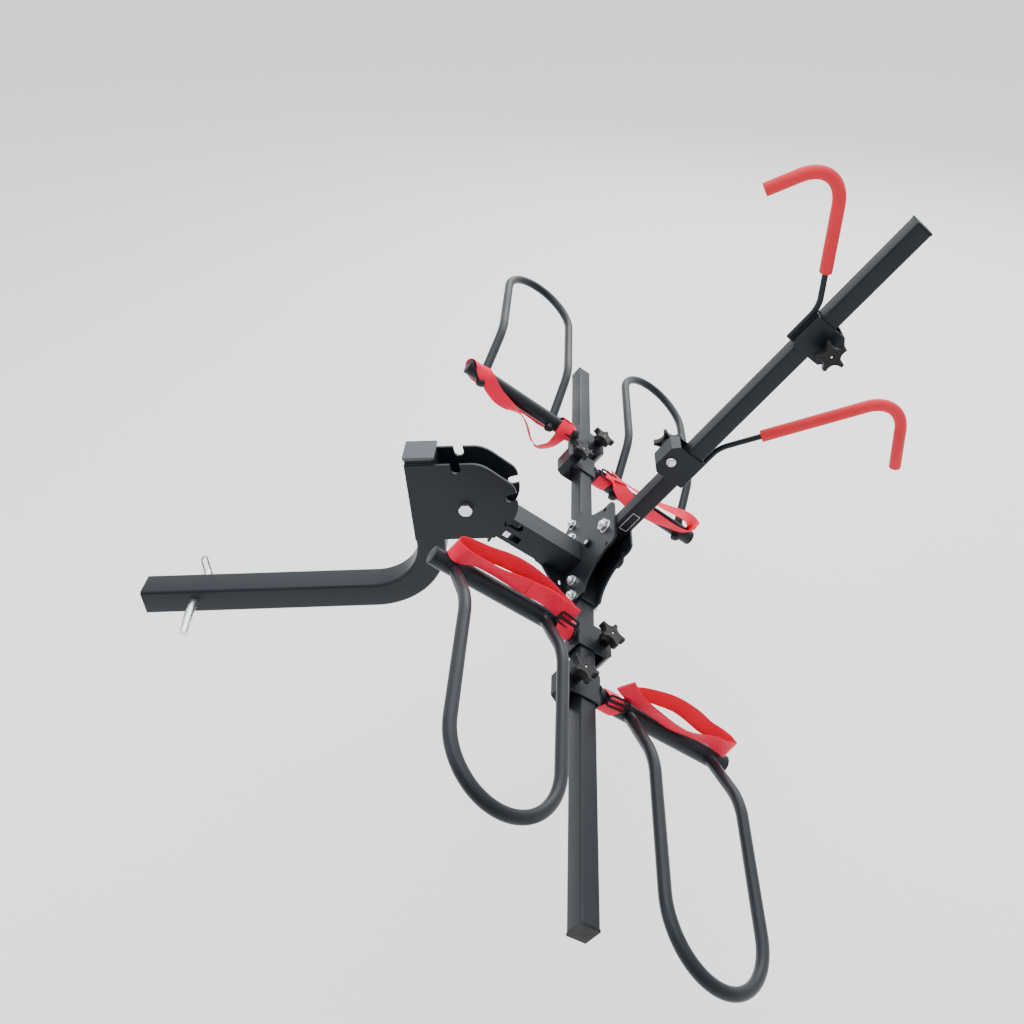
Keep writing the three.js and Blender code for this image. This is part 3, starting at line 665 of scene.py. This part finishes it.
def build_mast():
    piece = square_bar((0, 0, MAST_FOOT_W), (0, 0, MAST_TOP_W), (1, 0, 0))
    new_piece("square_mast", *piece, "mast", "steel", BAR_AXES, ["mast_tube"])
    # a plain printed outline on the side that faces the near end of the crossbar
    at = -BAR / 2 - 0.12 * MM
    line = 0.7 * MM
    low, high, half = 118 * MM, 157 * MM, 7.5 * MM
    corners = [(-half, at, low), (half, at, low), (half, at, high), (-half, at, high)]
    strips = []
    for (ax, ay, az), (bx, by, bz) in zip(corners, corners[1:] + corners[:1]):
        strips.append(sweep([Vector((ax, ay, az)), Vector((bx, by, bz))],
                            rounded_square(line, 0.2 * MM, 1), first=(0, 1, 0)))
    new_piece("mast_outline", *merge(*strips), "mast", "plastic", BAR_AXES, material=LABEL)


# -------------------- knobs


def star_radius(angle):
    """A star's outline: five blunt points with a hollow arc between each two."""
    fifth, blunt = 2 * math.pi / 5, math.radians(8)
    valley = KNOB_RADIUS - 2 * KNOB_LOBE + 1 * MM
    turn = abs(angle % fifth - fifth / 2)  # from the middle of a hollow side
    tip = fifth / 2 - blunt
    if turn > tip:
        return KNOB_RADIUS
    # the arc's centre lies outside, as far off as makes it pass through valley and tip
    away = (KNOB_RADIUS ** 2 - valley ** 2) / 2 / (KNOB_RADIUS * math.cos(tip) - valley)
    return away * math.cos(turn) - math.sqrt((away - valley) ** 2 - (away * math.sin(turn)) ** 2)


def star_knob():
    """A five-pointed knob on a flared hub, with crisp rims and a hole for the screw's end."""
    bore = ((3.7 * MM, KNOB_HIGH), (3.3 * MM, KNOB_HIGH - 0.4 * MM), (3.3 * MM, KNOB_HIGH - 4 * MM))
    hole = [[(r * c, r * s, z) for c, s in circle(1, STAR_STEPS)] for r, z in bore]
    rims = [(0.93, KNOB_LOW), (0.985, KNOB_LOW + 0.5 * MM), (1, KNOB_LOW + 1.4 * MM),
            (1, KNOB_HIGH - 1.1 * MM), (0.985, KNOB_HIGH - 0.3 * MM), (0.955, KNOB_HIGH),
            (0.93, KNOB_HIGH - 0.05 * MM)]
    rings = [polar_ring(lambda angle: star_radius(angle) * scale, z, STAR_STEPS) for scale, z in rims]
    star = loft([*rings, *hole])
    hub = lathe([(KNOB_HUB * 0.93, 0), (KNOB_HUB, 0.7 * MM), (KNOB_HUB, 5 * MM), (13 * MM, 9 * MM),
                 (13.6 * MM, KNOB_LOW + 1 * MM)], 40)
    return merge(star, hub)


def build_knob(name, node, body, matrix):
    new_piece(name, *star_knob(), body, "plastic", matrix, [node])
    tip = threaded_end(2.6 * MM, KNOB_HIGH - 5 * MM, KNOB_HIGH - 1.2 * MM, 0.9 * MM)
    new_piece(f"{name}_screw_end", *tip, body, "zinc", matrix)


# -------------------- hooks


def hook_path(hook, start=None):
    """The rod's middle line, or the sleeve's, which starts part of the way up the slope."""
    points = [Vector((hook["side"] * u * MM, 0, w * MM)) for u, w in hook["corners"]]
    reaches = [0, *(r * MM for r in hook["reaches"]), 0]
    if start is not None:
        points[1] = points[1] + (points[2] - points[1]).normalized() * start * MM
        points, reaches = points[1:], [0, *reaches[2:]]
    return rounded_path([tuple(p) for p in points], reaches, steps=18)


def rounded_ends(path, ease=2.2 * MM):
    """The path with its ends eased in, and the section's scale at each point."""
    first = path[0] + (path[1] - path[0]).normalized() * ease
    last = path[-1] + (path[-2] - path[-1]).normalized() * ease
    points = [path[0], path[0].lerp(first, 0.4), first, *path[1:-1],
              last, path[-1].lerp(last, 0.4), path[-1]]
    return points, [0.84, 0.95, *[1.0] * (len(points) - 4), 0.95, 0.84]


def build_hook(name):
    hook = HOOKS[name]
    body = f"{name}_hook"
    bolt_at = Vector(JOINTS[f"{name}_knob_turn"]["pos_m"])
    axes = arm_axes(bolt_at + hook["side"] * HOOK_BOLT * AXIS_U)
    rod = sweep(hook_path(hook), circle(HOOK_ROD, 20))
    new_piece(f"{name}_bent_rod", *rod, body, "steel", axes, [f"{name}_hook_rod"])
    points, scales = rounded_ends(hook_path(hook, hook["start"]))
    sleeve = sweep(points, circle(SLEEVE_RADIUS, 32), scales=scales)
    piece = new_piece(f"{name}_foam_sleeve", *sleeve, body, "foam", axes, [f"{name}_hook_sleeve"])
    # a weld on each side of the rod, about as far up and down as both it and the clamp reach
    clamp_reach = 29 * MM
    low, high = (w * MM for _, w in hook["corners"][:2])
    x = hook["side"] * (BAR / 2 + 7.2 * MM)
    for label, y in (("near", -4.2 * MM), ("far", 4.2 * MM)):
        ends = [axes @ Vector((x, y, w)) for w in (max(low, -clamp_reach), min(high, clamp_reach))]
        weld_bead(f"{name}_rod_weld_{label}", straight(*ends), 1.9 * MM, body)
    sign = hook["knob_side"]
    turned = axes_matrix(bolt_at, AXIS_U, sign * AXIS_W, sign * AXIS_Y)
    dome = [(2, 5.3), (4.6, 5.1), (7, 4.1), (8.5, 2.6), (9, 1.1), (8.8, 0.4)]
    bolt = merge(
        lathe([(3.9 * MM, -CLAMP_OUTSIDE - 1 * MM), (3.9 * MM, CLAMP_OUTSIDE + 3 * MM)], 24),
        lathe([(radius * MM, -CLAMP_OUTSIDE - height * MM) for radius, height in dome], 40),
    )
    new_piece(f"{name}_carriage_bolt", *bolt, body, "zinc", turned, [f"{name}_hook_bolt"])
    knob_axes = turned.copy()
    knob_axes.translation = bolt_at + sign * (CLAMP_OUTSIDE + KNOB_CLEARANCE) * AXIS_Y
    build_knob(f"{name}_star_knob", f"{name}_hook_knob", f"{name}_knob", knob_axes)


# -------------------- wheel holders


def hoop_path():
    low = (HOOP_INSIDE, SPINE_W + HOOP_INSIDE * HOOP_SLOPE)
    near, far = HOOP_LEGS
    half = (far - near) / 2
    corners = [
        (near, *low), (near, HOOP_KNEE, HOOP_FLAT_W), (near, HOOP_REACH, HOOP_FLAT_W),
        (far, HOOP_REACH, HOOP_FLAT_W), (far, HOOP_KNEE, HOOP_FLAT_W), (far, *low),
    ]
    knee = 30 * MM
    return rounded_path(corners, [0, knee, (106 * MM, half), (half, 106 * MM), knee, 0], steps=20)


def leg_plugs():
    """Round plugs in the lower ends of the hoop's two legs."""
    along = Vector((0, -1, -HOOP_SLOPE)).normalized()
    parts = []
    for a in HOOP_LEGS:
        end = Vector((a, HOOP_INSIDE, SPINE_W + HOOP_INSIDE * HOOP_SLOPE))
        path = [end + along * step * MM for step in (-0.2, 0.9, 1.4)]
        parts.append(sweep(path, circle(HOOP_TUBE * 0.86, 24), scales=[1, 1, 0.86]))
        inner = [end + along * step * MM for step in (1.2, 2.0, 2.4)]
        parts.append(sweep(inner, circle(HOOP_TUBE * 0.42, 20), scales=[1, 1, 0.8]))
    return merge(*parts)


def ring_on_spine(a, radius, lift, count=44):
    """The seam where a leg of the given radius comes out of the spine."""
    points = []
    along = Vector((0, 1, HOOP_SLOPE)).normalized()
    across = Vector((0, -HOOP_SLOPE, 1)).normalized()
    for i in range(count):
        angle = 2 * math.pi * i / count
        x, side = radius * math.cos(angle), radius * math.sin(angle)
        # the ring is carried out along the leg to the spine's skin
        reach = math.sqrt(max(SPINE_RADIUS ** 2 - side ** 2, 0))
        points.append(Vector((a + x, 0, SPINE_W)) + along * (reach + lift) + across * side)
    return points


def build_holder_steel(name, axes):
    body = f"{name}_holder"
    plug = SPINE_RADIUS - 0.4 * MM
    tube = sweep([Vector((x, 0, SPINE_W)) for x in (SPINE_START, SPINE_END - 4 * MM)],
                 circle(SPINE_RADIUS, 40), circle(SPINE_RADIUS - 2.5 * MM, 40))
    new_piece(f"{name}_round_spine", *tube, body, "steel", axes, [f"{name}_spine"])
    ends = [(SPINE_END - 9 * MM, 0.8), (SPINE_END - 4 * MM, 0.82), (SPINE_END - 3.9 * MM, 1.02),
            (SPINE_END - 1.2 * MM, 1.02), (SPINE_END - 0.2 * MM, 0.95), (SPINE_END, 0.86)]
    cap = sweep([Vector((x, 0, SPINE_W)) for x, _ in ends], circle(plug, 40),
                scales=[scale for _, scale in ends])
    new_piece(f"{name}_spine_plug", *cap, body, "plastic", axes)
    new_piece(f"{name}_bent_hoop", *sweep(hoop_path(), circle(HOOP_TUBE, 28)), body, "steel",
              axes, [f"{name}_hoop"])
    new_piece(f"{name}_leg_plugs", *leg_plugs(), body, "plastic", axes)
    for label, a in zip(("inner", "outer"), HOOP_LEGS):
        ring = [axes @ p for p in ring_on_spine(a, HOOP_TUBE + 0.4 * MM, 0.2 * MM)]
        weld_bead(f"{name}_leg_weld_{label}", ring, 1.7 * MM, body, closed=True)
    collar = [axes @ Vector((SPINE_START + 0.6 * MM, SPINE_RADIUS * y, SPINE_W + SPINE_RADIUS * z))
              for y, z in circle(1.02, 46)]
    weld_bead(f"{name}_spine_weld", collar, 2.0 * MM, body, closed=True)


# -------------------- straps

# Each strap starts at its buckle, runs out to the spine's end, turns round it and comes back. A
# station is (out along the spine, towards the hoop, up), in mm, and the way the width points.
FLAT, EDGE = (0, 1, 0), (0, 0, 1)
STRAPS = {
    "near_front": [
        ((48, 6, 41), (0, -.2, 1)), ((68, 6, 43), (0, -.2, 1)), ((90, 4, 45), (0, -.15, 1)),
        ((112, 3, 46), (0, -.1, 1)), ((145, 1, 42), EDGE), ((172, 2, 41), (0, .2, .98)),
        ((205, 5, 41), (0, .4, .92)), ((236, 8, 42), (0, .4, .92)), ((256, 12, 41), (0, .1, 1)),
        ((272, 11, 40), (0, -.2, 1)), ((283, 1, 39.5), EDGE), ((278, -10, 40), EDGE),
        ((260, -15, 42), EDGE), ((230, -16, 46), EDGE), ((194, -16, 54), EDGE), ((157, -15, 56), EDGE),
        ((119, -12, 51), EDGE), ((92, -7, 46), EDGE), ((62, 1, 41), (0, -.2, 1)),
    ],
    "near_rear": [
        ((40, 9, 60), (.5, 0, .86)), ((58, 9, 51), (.3, .2, .93)), ((82, 9, 44), (.1, .4, .92)),
        ((120, 11, 40), (0, .5, .87)), ((160, 13, 35), (0, .5, .87)), ((192, 13, 38), (0, .5, .87)),
        ((230, 13, 48), (0, .3, .95)), ((254, 14, 49), (0, .05, 1)), ((274, 10, 46), (0, -.2, 1)),
        ((283, 0, 42), EDGE), ((277, -10, 41), EDGE), ((256, -15, 42), EDGE), ((224, -16, 44), EDGE),
        ((192, -16, 51), EDGE), ((153, -15, 55), EDGE), ((113, -13, 50), EDGE), ((80, -8, 43), EDGE),
        ((60, 2, 40), (0, -.1, 1)),
    ],
    "far_rear": [
        ((46, -3, 27), FLAT), ((64, -6, 26), FLAT), ((84, -12, 21), (0, .8, .6)),
        ((108, -16, 14), (0, .4, .92)), ((139, -18.5, 8), (0, .1, 1)), ((170, -19, 9), (0, -.1, 1)),
        ((200, -20, 11), (0, -.3, .95)), ((240, -21, 15), (0, -.55, .84)),
        ((262, -20, 19), (0, -.6, .8)),
        ((277, -15, 24), (.1, -.55, .84)), ((284, -6, 29), (.2, -.1, .97)), ((284, 3, 34), (0, .4, .92)),
        ((275, 7, 38), (0, .8, .6)), ((256, 7, 41), (0, .97, .2)), ((230, 5, 38), FLAT),
        ((199, 3, 33), (0, .98, -.2)), ((165, 6, 28), (0, .95, -.3)), ((120, 8, 26), (0, .93, -.36)),
        ((84, 7, 27), (0, .95, -.3)), ((60, 3, 30), FLAT),
    ],
    "far_front": [
        ((54, -8, 27), (1, 0, 0)), ((56, -20, 15), (1, 0, 0)), ((57, -26, -4), (.9, -.4, .15)),
        ((62, -28, -30), (.7, -.65, .3)), ((80, -28, -49), (.55, -.7, .45)),
        ((100, -28, -44), (.4, -.8, .45)), ((117, -27, -32), (.4, -.85, .35)),
        ((134, -26, -19), (.3, -.88, .35)), ((152, -25, -10), (.1, -.88, .45)),
        ((172, -24.5, -8), (0, -.65, .76)), ((192, -23.5, -8), (-.1, -.3, .95)),
        ((214, -21.5, -5), (-.2, 0, .97)), ((236, -19, 3), (-.4, .1, .9)), ((254, -16, 13), (-.7, .2, .68)),
        ((267, -10, 19), (-.92, .2, .3)), ((275, -2, 22.8), (-1, 0, 0)), ((282, 8, 21), (-1, 0, 0)),
        ((287, 17, 12), (-1, 0, 0)), ((287, 20.5, 1), (-.97, 0, .2)), ((272, 21.5, -11), (-.4, 0, .92)),
        ((244, 21, -11), EDGE), ((180, 20.5, -11), EDGE), ((120, 20.5, -12), EDGE), ((94, 21, -14), EDGE),
        ((70, 20.5, -7), (.3, 0, .95)), ((56, 18, 8), (.8, 0, .5)), ((53, 8, 25), (1, 0, 0)),
    ],
}
# where each buckle sits, its long way (the anchor band's width) and the way the strap leaves it
BUCKLES = {
    "near_front": ((54, 13, 31), (1, 0, .1), (0, -.35, 1)),
    "near_rear": ((53, 16, 25), (1, 0, .1), (0, -.45, 1)),
    "far_rear": ((52, -7, 27), (1, 0, 0), (0, -.9, -.35)),
    "far_front": ((54, -17, 16), (1, 0, 0), (0, -.7, -.7)),
}
SEAM_AT = 96 * MM  # strap length from the buckle to the end of its doubled part


def smooth_stations(stations, per_span=8):
    """Catmull-Rom through the stations: points and width directions."""
    points = [Vector(point) * MM for point, _ in stations]
    widths = [Vector(width).normalized() for _, width in stations]

    def blend(values, i, t):
        a, b, c, d = (values[max(0, min(len(values) - 1, i + k))] for k in (-1, 0, 1, 2))
        return ((b * 2) + (c - a) * t + (a * 2 - b * 5 + c * 4 - d) * t * t
                + (b * 3 - a - c * 3 + d) * t ** 3) / 2

    smooth = []
    for i in range(len(points) - 1):
        for step in range(per_span):
            t = step / per_span
            smooth.append((blend(points, i, t), blend(widths, i, t).normalized()))
    smooth.append((points[-1], widths[-1]))
    return smooth


def ribbon(stations, width, thick, closed=False, lift=0.0):
    """Webbing along stations of (point, width direction): points, faces and UVs in metres."""
    count = len(stations)
    columns = 8
    verts, along, frames = [], [0.0], []
    for i, (point, way) in enumerate(stations):
        before = stations[i - 1][0] if i or closed else point
        after = stations[(i + 1) % count][0] if i < count - 1 or closed else point
        tangent = (after - before).normalized()
        side = (way - tangent * way.dot(tangent)).normalized()
        frames.append((point, side, side.cross(tangent)))
        if i:
            along.append(along[-1] + (point - stations[i - 1][0]).length)
    if closed:
        along.append(along[-1] + (stations[0][0] - stations[-1][0]).length)
    offsets = [(k / columns - 0.5) * width for k in range(columns + 1)]
    around = []
    for k, offset in enumerate(offsets):
        thin = 0.45 if k in (0, columns) else 1.0
        around.append((offset, thick / 2 * thin))
    around += [(offset, -height) for offset, height in reversed(around)]
    for i, (point, side, normal) in enumerate(frames):
        ripple = 0.35 * MM * math.sin(along[i] * 95.0)
        for offset, height in around:
            cup = 0.5 * MM * (2 * offset / width) ** 2 + ripple * (2 * offset / width)
            verts.append(point + side * offset + normal * (height + cup + lift))
    size = len(around)
    faces, uvs = [], []
    rings = count if closed else count - 1
    for ring in range(rings):
        low, high = ring * size, (ring + 1) % count * size
        for k in range(size):
            j = (k + 1) % size
            faces.append((low + k, high + k, high + j, low + j))
            near, far = around[k][0], around[j][0]
            uvs.append(((near, along[ring]), (near, along[ring + 1]),
                        (far, along[ring + 1]), (far, along[ring])))
    if not closed:
        last = (count - 1) * size
        faces.append(tuple(range(size)))
        uvs.append(tuple((around[k][0], 0.0) for k in range(size)))
        faces.append(tuple(range(last + size - 1, last - 1, -1)))
        uvs.append(tuple((around[k][0], along[-1]) for k in range(size - 1, -1, -1)))
    return verts, faces, uvs, along[-1]


def anchor_loop(toward):
    """The short band that holds the buckle: round the spine, drawn out towards the buckle."""
    count = 56
    out, side, up = (value * MM for value in toward)
    rise = up - SPINE_W
    aim = math.atan2(rise, side)
    snug = SPINE_RADIUS + 1.4 * MM
    away = max(math.hypot(side, rise) - 3 * MM, snug)
    loop = []
    for i in range(count):
        angle = 2 * math.pi * i / count
        lean = max(0.0, math.cos(angle - aim)) ** 5
        radius = snug * (1 - lean) + away * lean
        x = ANCHOR_A + (out - ANCHOR_A) * lean
        point = Vector((x, radius * math.cos(angle), SPINE_W + radius * math.sin(angle)))
        loop.append((point, Vector((1, 0, 0))))
    return loop


def buckle_frame():
    """A slider buckle: a rounded frame and a ridged middle bar, long along x, flat in z."""
    half_long, half_short = 18.5 * MM, 9 * MM
    corners = [(half_long, 0, 0), (half_long, half_short, 0), (-half_long, half_short, 0),
               (-half_long, -half_short, 0), (half_long, -half_short, 0), (half_long, 0, 0)]
    ring = rounded_path(corners, [0, 4 * MM, 4 * MM, 4 * MM, 4 * MM, 0], steps=8)[:-1]
    bar = [(a * 2.1 * MM, b * 1.9 * MM) for a, b in circle(1, 14)]
    frame_part = sweep(ring, bar, closed=True)
    middle = [Vector((x * MM, 0, 0)) for x in (-18, -15, 15, 18)]
    middle_part = sweep(middle, [(a * 2.6 * MM, b * 1.8 * MM) for a, b in circle(1, 14)])
    ridges = []
    for x in range(-14, 15, 4):
        ends = [Vector((x * MM, y, 1.7 * MM)) for y in (-2 * MM, 2 * MM)]
        ridges.append(sweep(ends, circle(0.5 * MM, 8)))
    return merge(frame_part, middle_part, *ridges)


def stitch_rows(stations, lift):
    """Two rows of short threads across the webbing where its doubled part ends."""
    length = 0.0
    parts = []
    rows = [SEAM_AT - 4 * MM, SEAM_AT - 9 * MM]
    for (point, way), (following, _) in zip(stations, stations[1:]):
        step = (following - point).length
        tangent = (following - point).normalized()
        side = (way - tangent * way.dot(tangent)).normalized()
        normal = side.cross(tangent)
        for row in rows:
            if length <= row < length + step:
                start = point + tangent * (row - length) + normal * lift
                for k in range(-6, 7):
                    middle = start + side * (k * 2.3 * MM)
                    ends = [middle - side * 0.8 * MM, middle + side * 0.8 * MM]
                    parts.append(sweep(ends, circle(0.35 * MM, 6)))
        length += step
    return merge(*parts)


def outward(point, way, following):
    """1 if the webbing's own normal points away from the spine there, or else -1."""
    normal = way.cross(following - point)
    away = point - Vector((point.x, 0, SPINE_W))
    return 1 if normal.dot(away) > 0 else -1


def build_strap(name, axes):
    body = f"{name}_holder"
    stations = smooth_stations(STRAPS[name])
    verts, faces, uvs, length = ribbon(stations, STRAP_WIDTH, STRAP_THICK)
    strap = new_piece(f"{name}_webbing", verts, faces, body, "webbing", axes,
                      [f"{name}_strap"], uvs, sharp_deg=60)
    lift = (STRAP_THICK + 0.3 * MM) * outward(*stations[0], stations[1][0])
    # the doubled part lies on the first run of the webbing, from the buckle to its seam
    doubled, run = [], 0.0
    for (point, way), (following, _) in zip(stations, stations[1:]):
        doubled.append((point, way))
        run += (following - point).length
        if run > SEAM_AT:
            break
    verts, faces, uvs, length = ribbon(doubled, STRAP_WIDTH * 0.97, STRAP_THICK, lift=lift)
    layer = new_piece(f"{name}_webbing_end", verts, faces, body, "webbing", axes, (), uvs, 60)
    threads = stitch_rows(stations, lift + math.copysign(STRAP_THICK / 2, lift))
    new_piece(f"{name}_stitching", *threads, body, "webbing", axes)
    spot, long_way, leave = BUCKLES[name]
    band = anchor_loop(spot)
    verts, faces, uvs, length = ribbon(band, ANCHOR_WIDTH, STRAP_THICK, closed=True)
    anchor = new_piece(f"{name}_anchor_band", verts, faces, body, "webbing", axes, (), uvs, 60)
    x = Vector(long_way).normalized()
    y = (Vector(leave) - x * Vector(leave).dot(x)).normalized()
    local = axes_matrix(Vector(spot) * MM, x, y, x.cross(y))
    new_piece(f"{name}_slider", *buckle_frame(), body, "plastic", axes @ local,
              [f"{name}_buckle"])


def build_holder(name):
    axes = holder_matrix(name)
    build_holder_steel(name, axes)
    build_strap(name, axes)
    joint = Vector(JOINTS[f"{name}_knob_turn"]["pos_m"])
    knob_axes = arm_axes(joint + (CLAMP_OUTSIDE + KNOB_CLEARANCE) * AXIS_W)
    build_knob(f"{name}_star_knob", f"{name}_knob", f"{name}_knob", knob_axes)
    stud_axes = arm_axes(joint)
    # the stud ends at the clamp's lower face, with a thin chamfered tip
    stud = merge(
        lathe([(3.9 * MM, -CLAMP_OUTSIDE), (3.9 * MM, CLAMP_OUTSIDE + 3 * MM)], 24),
        lathe([(STUD_RADIUS * 0.88, -CLAMP_OUTSIDE), (STUD_RADIUS * 0.7, -CLAMP_OUTSIDE - 0.1 * MM)], 24),
    )
    new_piece(f"{name}_stud", *stud, f"{name}_knob", "zinc", stud_axes)


# -------------------- studio


FLOOR_DROP, FLOOR_HALF = 0.55, 40.0  # floor below the rack's lowest point, and half its width


def build_studio():
    low, high = cad_bounds
    centre = (Vector(low) + Vector(high)) / 2
    floor_z, size = low[2] - FLOOR_DROP, FLOOR_HALF
    mesh = bpy.data.meshes.new("studio_floor")
    mesh.from_pydata([(-size, -size, floor_z), (size, -size, floor_z), (size, size, floor_z),
                      (-size, size, floor_z)], [], [(0, 1, 2, 3)])
    material, tree, shader = new_material("studio_paper", (0.9, 0.9, 0.9), 0.9, specular=0.1)
    tint(tree, shader, noise(tree, 0.6), (0.89, 0.89, 0.89), (0.91, 0.91, 0.91))
    mesh.materials.append(material)
    floor = bpy.data.objects.new("studio_floor", mesh)
    bpy.context.scene.collection.objects.link(floor)

    world = bpy.data.worlds.new("studio")
    bpy.context.scene.world = world
    world.use_nodes = True
    tree = world.node_tree
    background = tree.nodes["Background"]
    background.inputs["Color"].default_value = (0.97, 0.985, 1, 1)
    # bright behind and above the rack, and dim in front of it
    towards = add_node(tree, "ShaderNodeVectorMath", operation="DOT_PRODUCT")
    tree.links.new(add_node(tree, "ShaderNodeTexCoord").outputs["Generated"], towards.inputs[0])
    towards.inputs[1].default_value = (0.25, 0.85, 0.45)
    strength = ramp(tree, towards.outputs["Value"], -1.0, 1.0, 0.4, 2.0)
    tree.links.new(strength, background.inputs["Strength"])

    def softbox(name, offset, size_x, size_y, watts):
        light = bpy.data.lights.new(name, "AREA")
        light.shape = "RECTANGLE"
        light.size, light.size_y, light.energy = size_x, size_y, watts
        lamp = bpy.data.objects.new(name, light)
        lamp.location = centre + Vector(offset)
        lamp.rotation_euler = (-Vector(offset)).to_track_quat("-Z", "Y").to_euler()
        bpy.context.scene.collection.objects.link(lamp)

    softbox("top_softbox", (0.3, 0.6, 3.4), 4.0, 4.0, 150)
    softbox("back_softbox", (1.6, 4.0, 1.8), 4.0, 1.8, 120)
    softbox("left_softbox", (-3.4, -0.6, 1.8), 1.6, 1.6, 30)


# where the photo was taken from, from a fit of the rack's edges to it: metres, degrees and mm
CAMERA_PLACE = (0.73843, -1.4431, 1.24133)
CAMERA_TURN, CAMERA_PITCH, CAMERA_ROLL = 3.048, 34.938, 0.102
CAMERA_LENS, CAMERA_SENSOR = 35.34, 36.0
CAMERA_SHIFT = (-0.12694, -0.02363)  # in picture widths


def build_camera():
    """Looks down at the rack from its near side."""
    turn, pitch, roll = (math.radians(angle) for angle in (CAMERA_TURN, CAMERA_PITCH, CAMERA_ROLL))
    forward = Vector((math.sin(turn) * math.cos(pitch), math.cos(turn) * math.cos(pitch),
                      -math.sin(pitch)))
    level = Vector((math.cos(turn), -math.sin(turn), 0))
    upright = level.cross(forward)
    right = math.cos(roll) * level + math.sin(roll) * upright
    up = math.cos(roll) * upright - math.sin(roll) * level
    data = bpy.data.cameras.new("camera")
    data.sensor_width, data.lens = CAMERA_SENSOR, CAMERA_LENS
    data.shift_x, data.shift_y = CAMERA_SHIFT
    camera = bpy.data.objects.new("camera", data)
    camera.matrix_world = axes_matrix(Vector(CAMERA_PLACE), right, up, -forward)
    bpy.context.scene.collection.objects.link(camera)
    bpy.context.scene.camera = camera


# -------------------- assembly

keep_nodes()
build_hitch()
build_hitch_pin()
build_hitch_welds()
build_bar_and_bracket()
build_latch_carriage()
build_mast()
for hook_name in HOOKS:
    build_hook(hook_name)
for holder_name in HOLDER_SIDES:
    build_holder(holder_name)
build_studio()
build_camera()
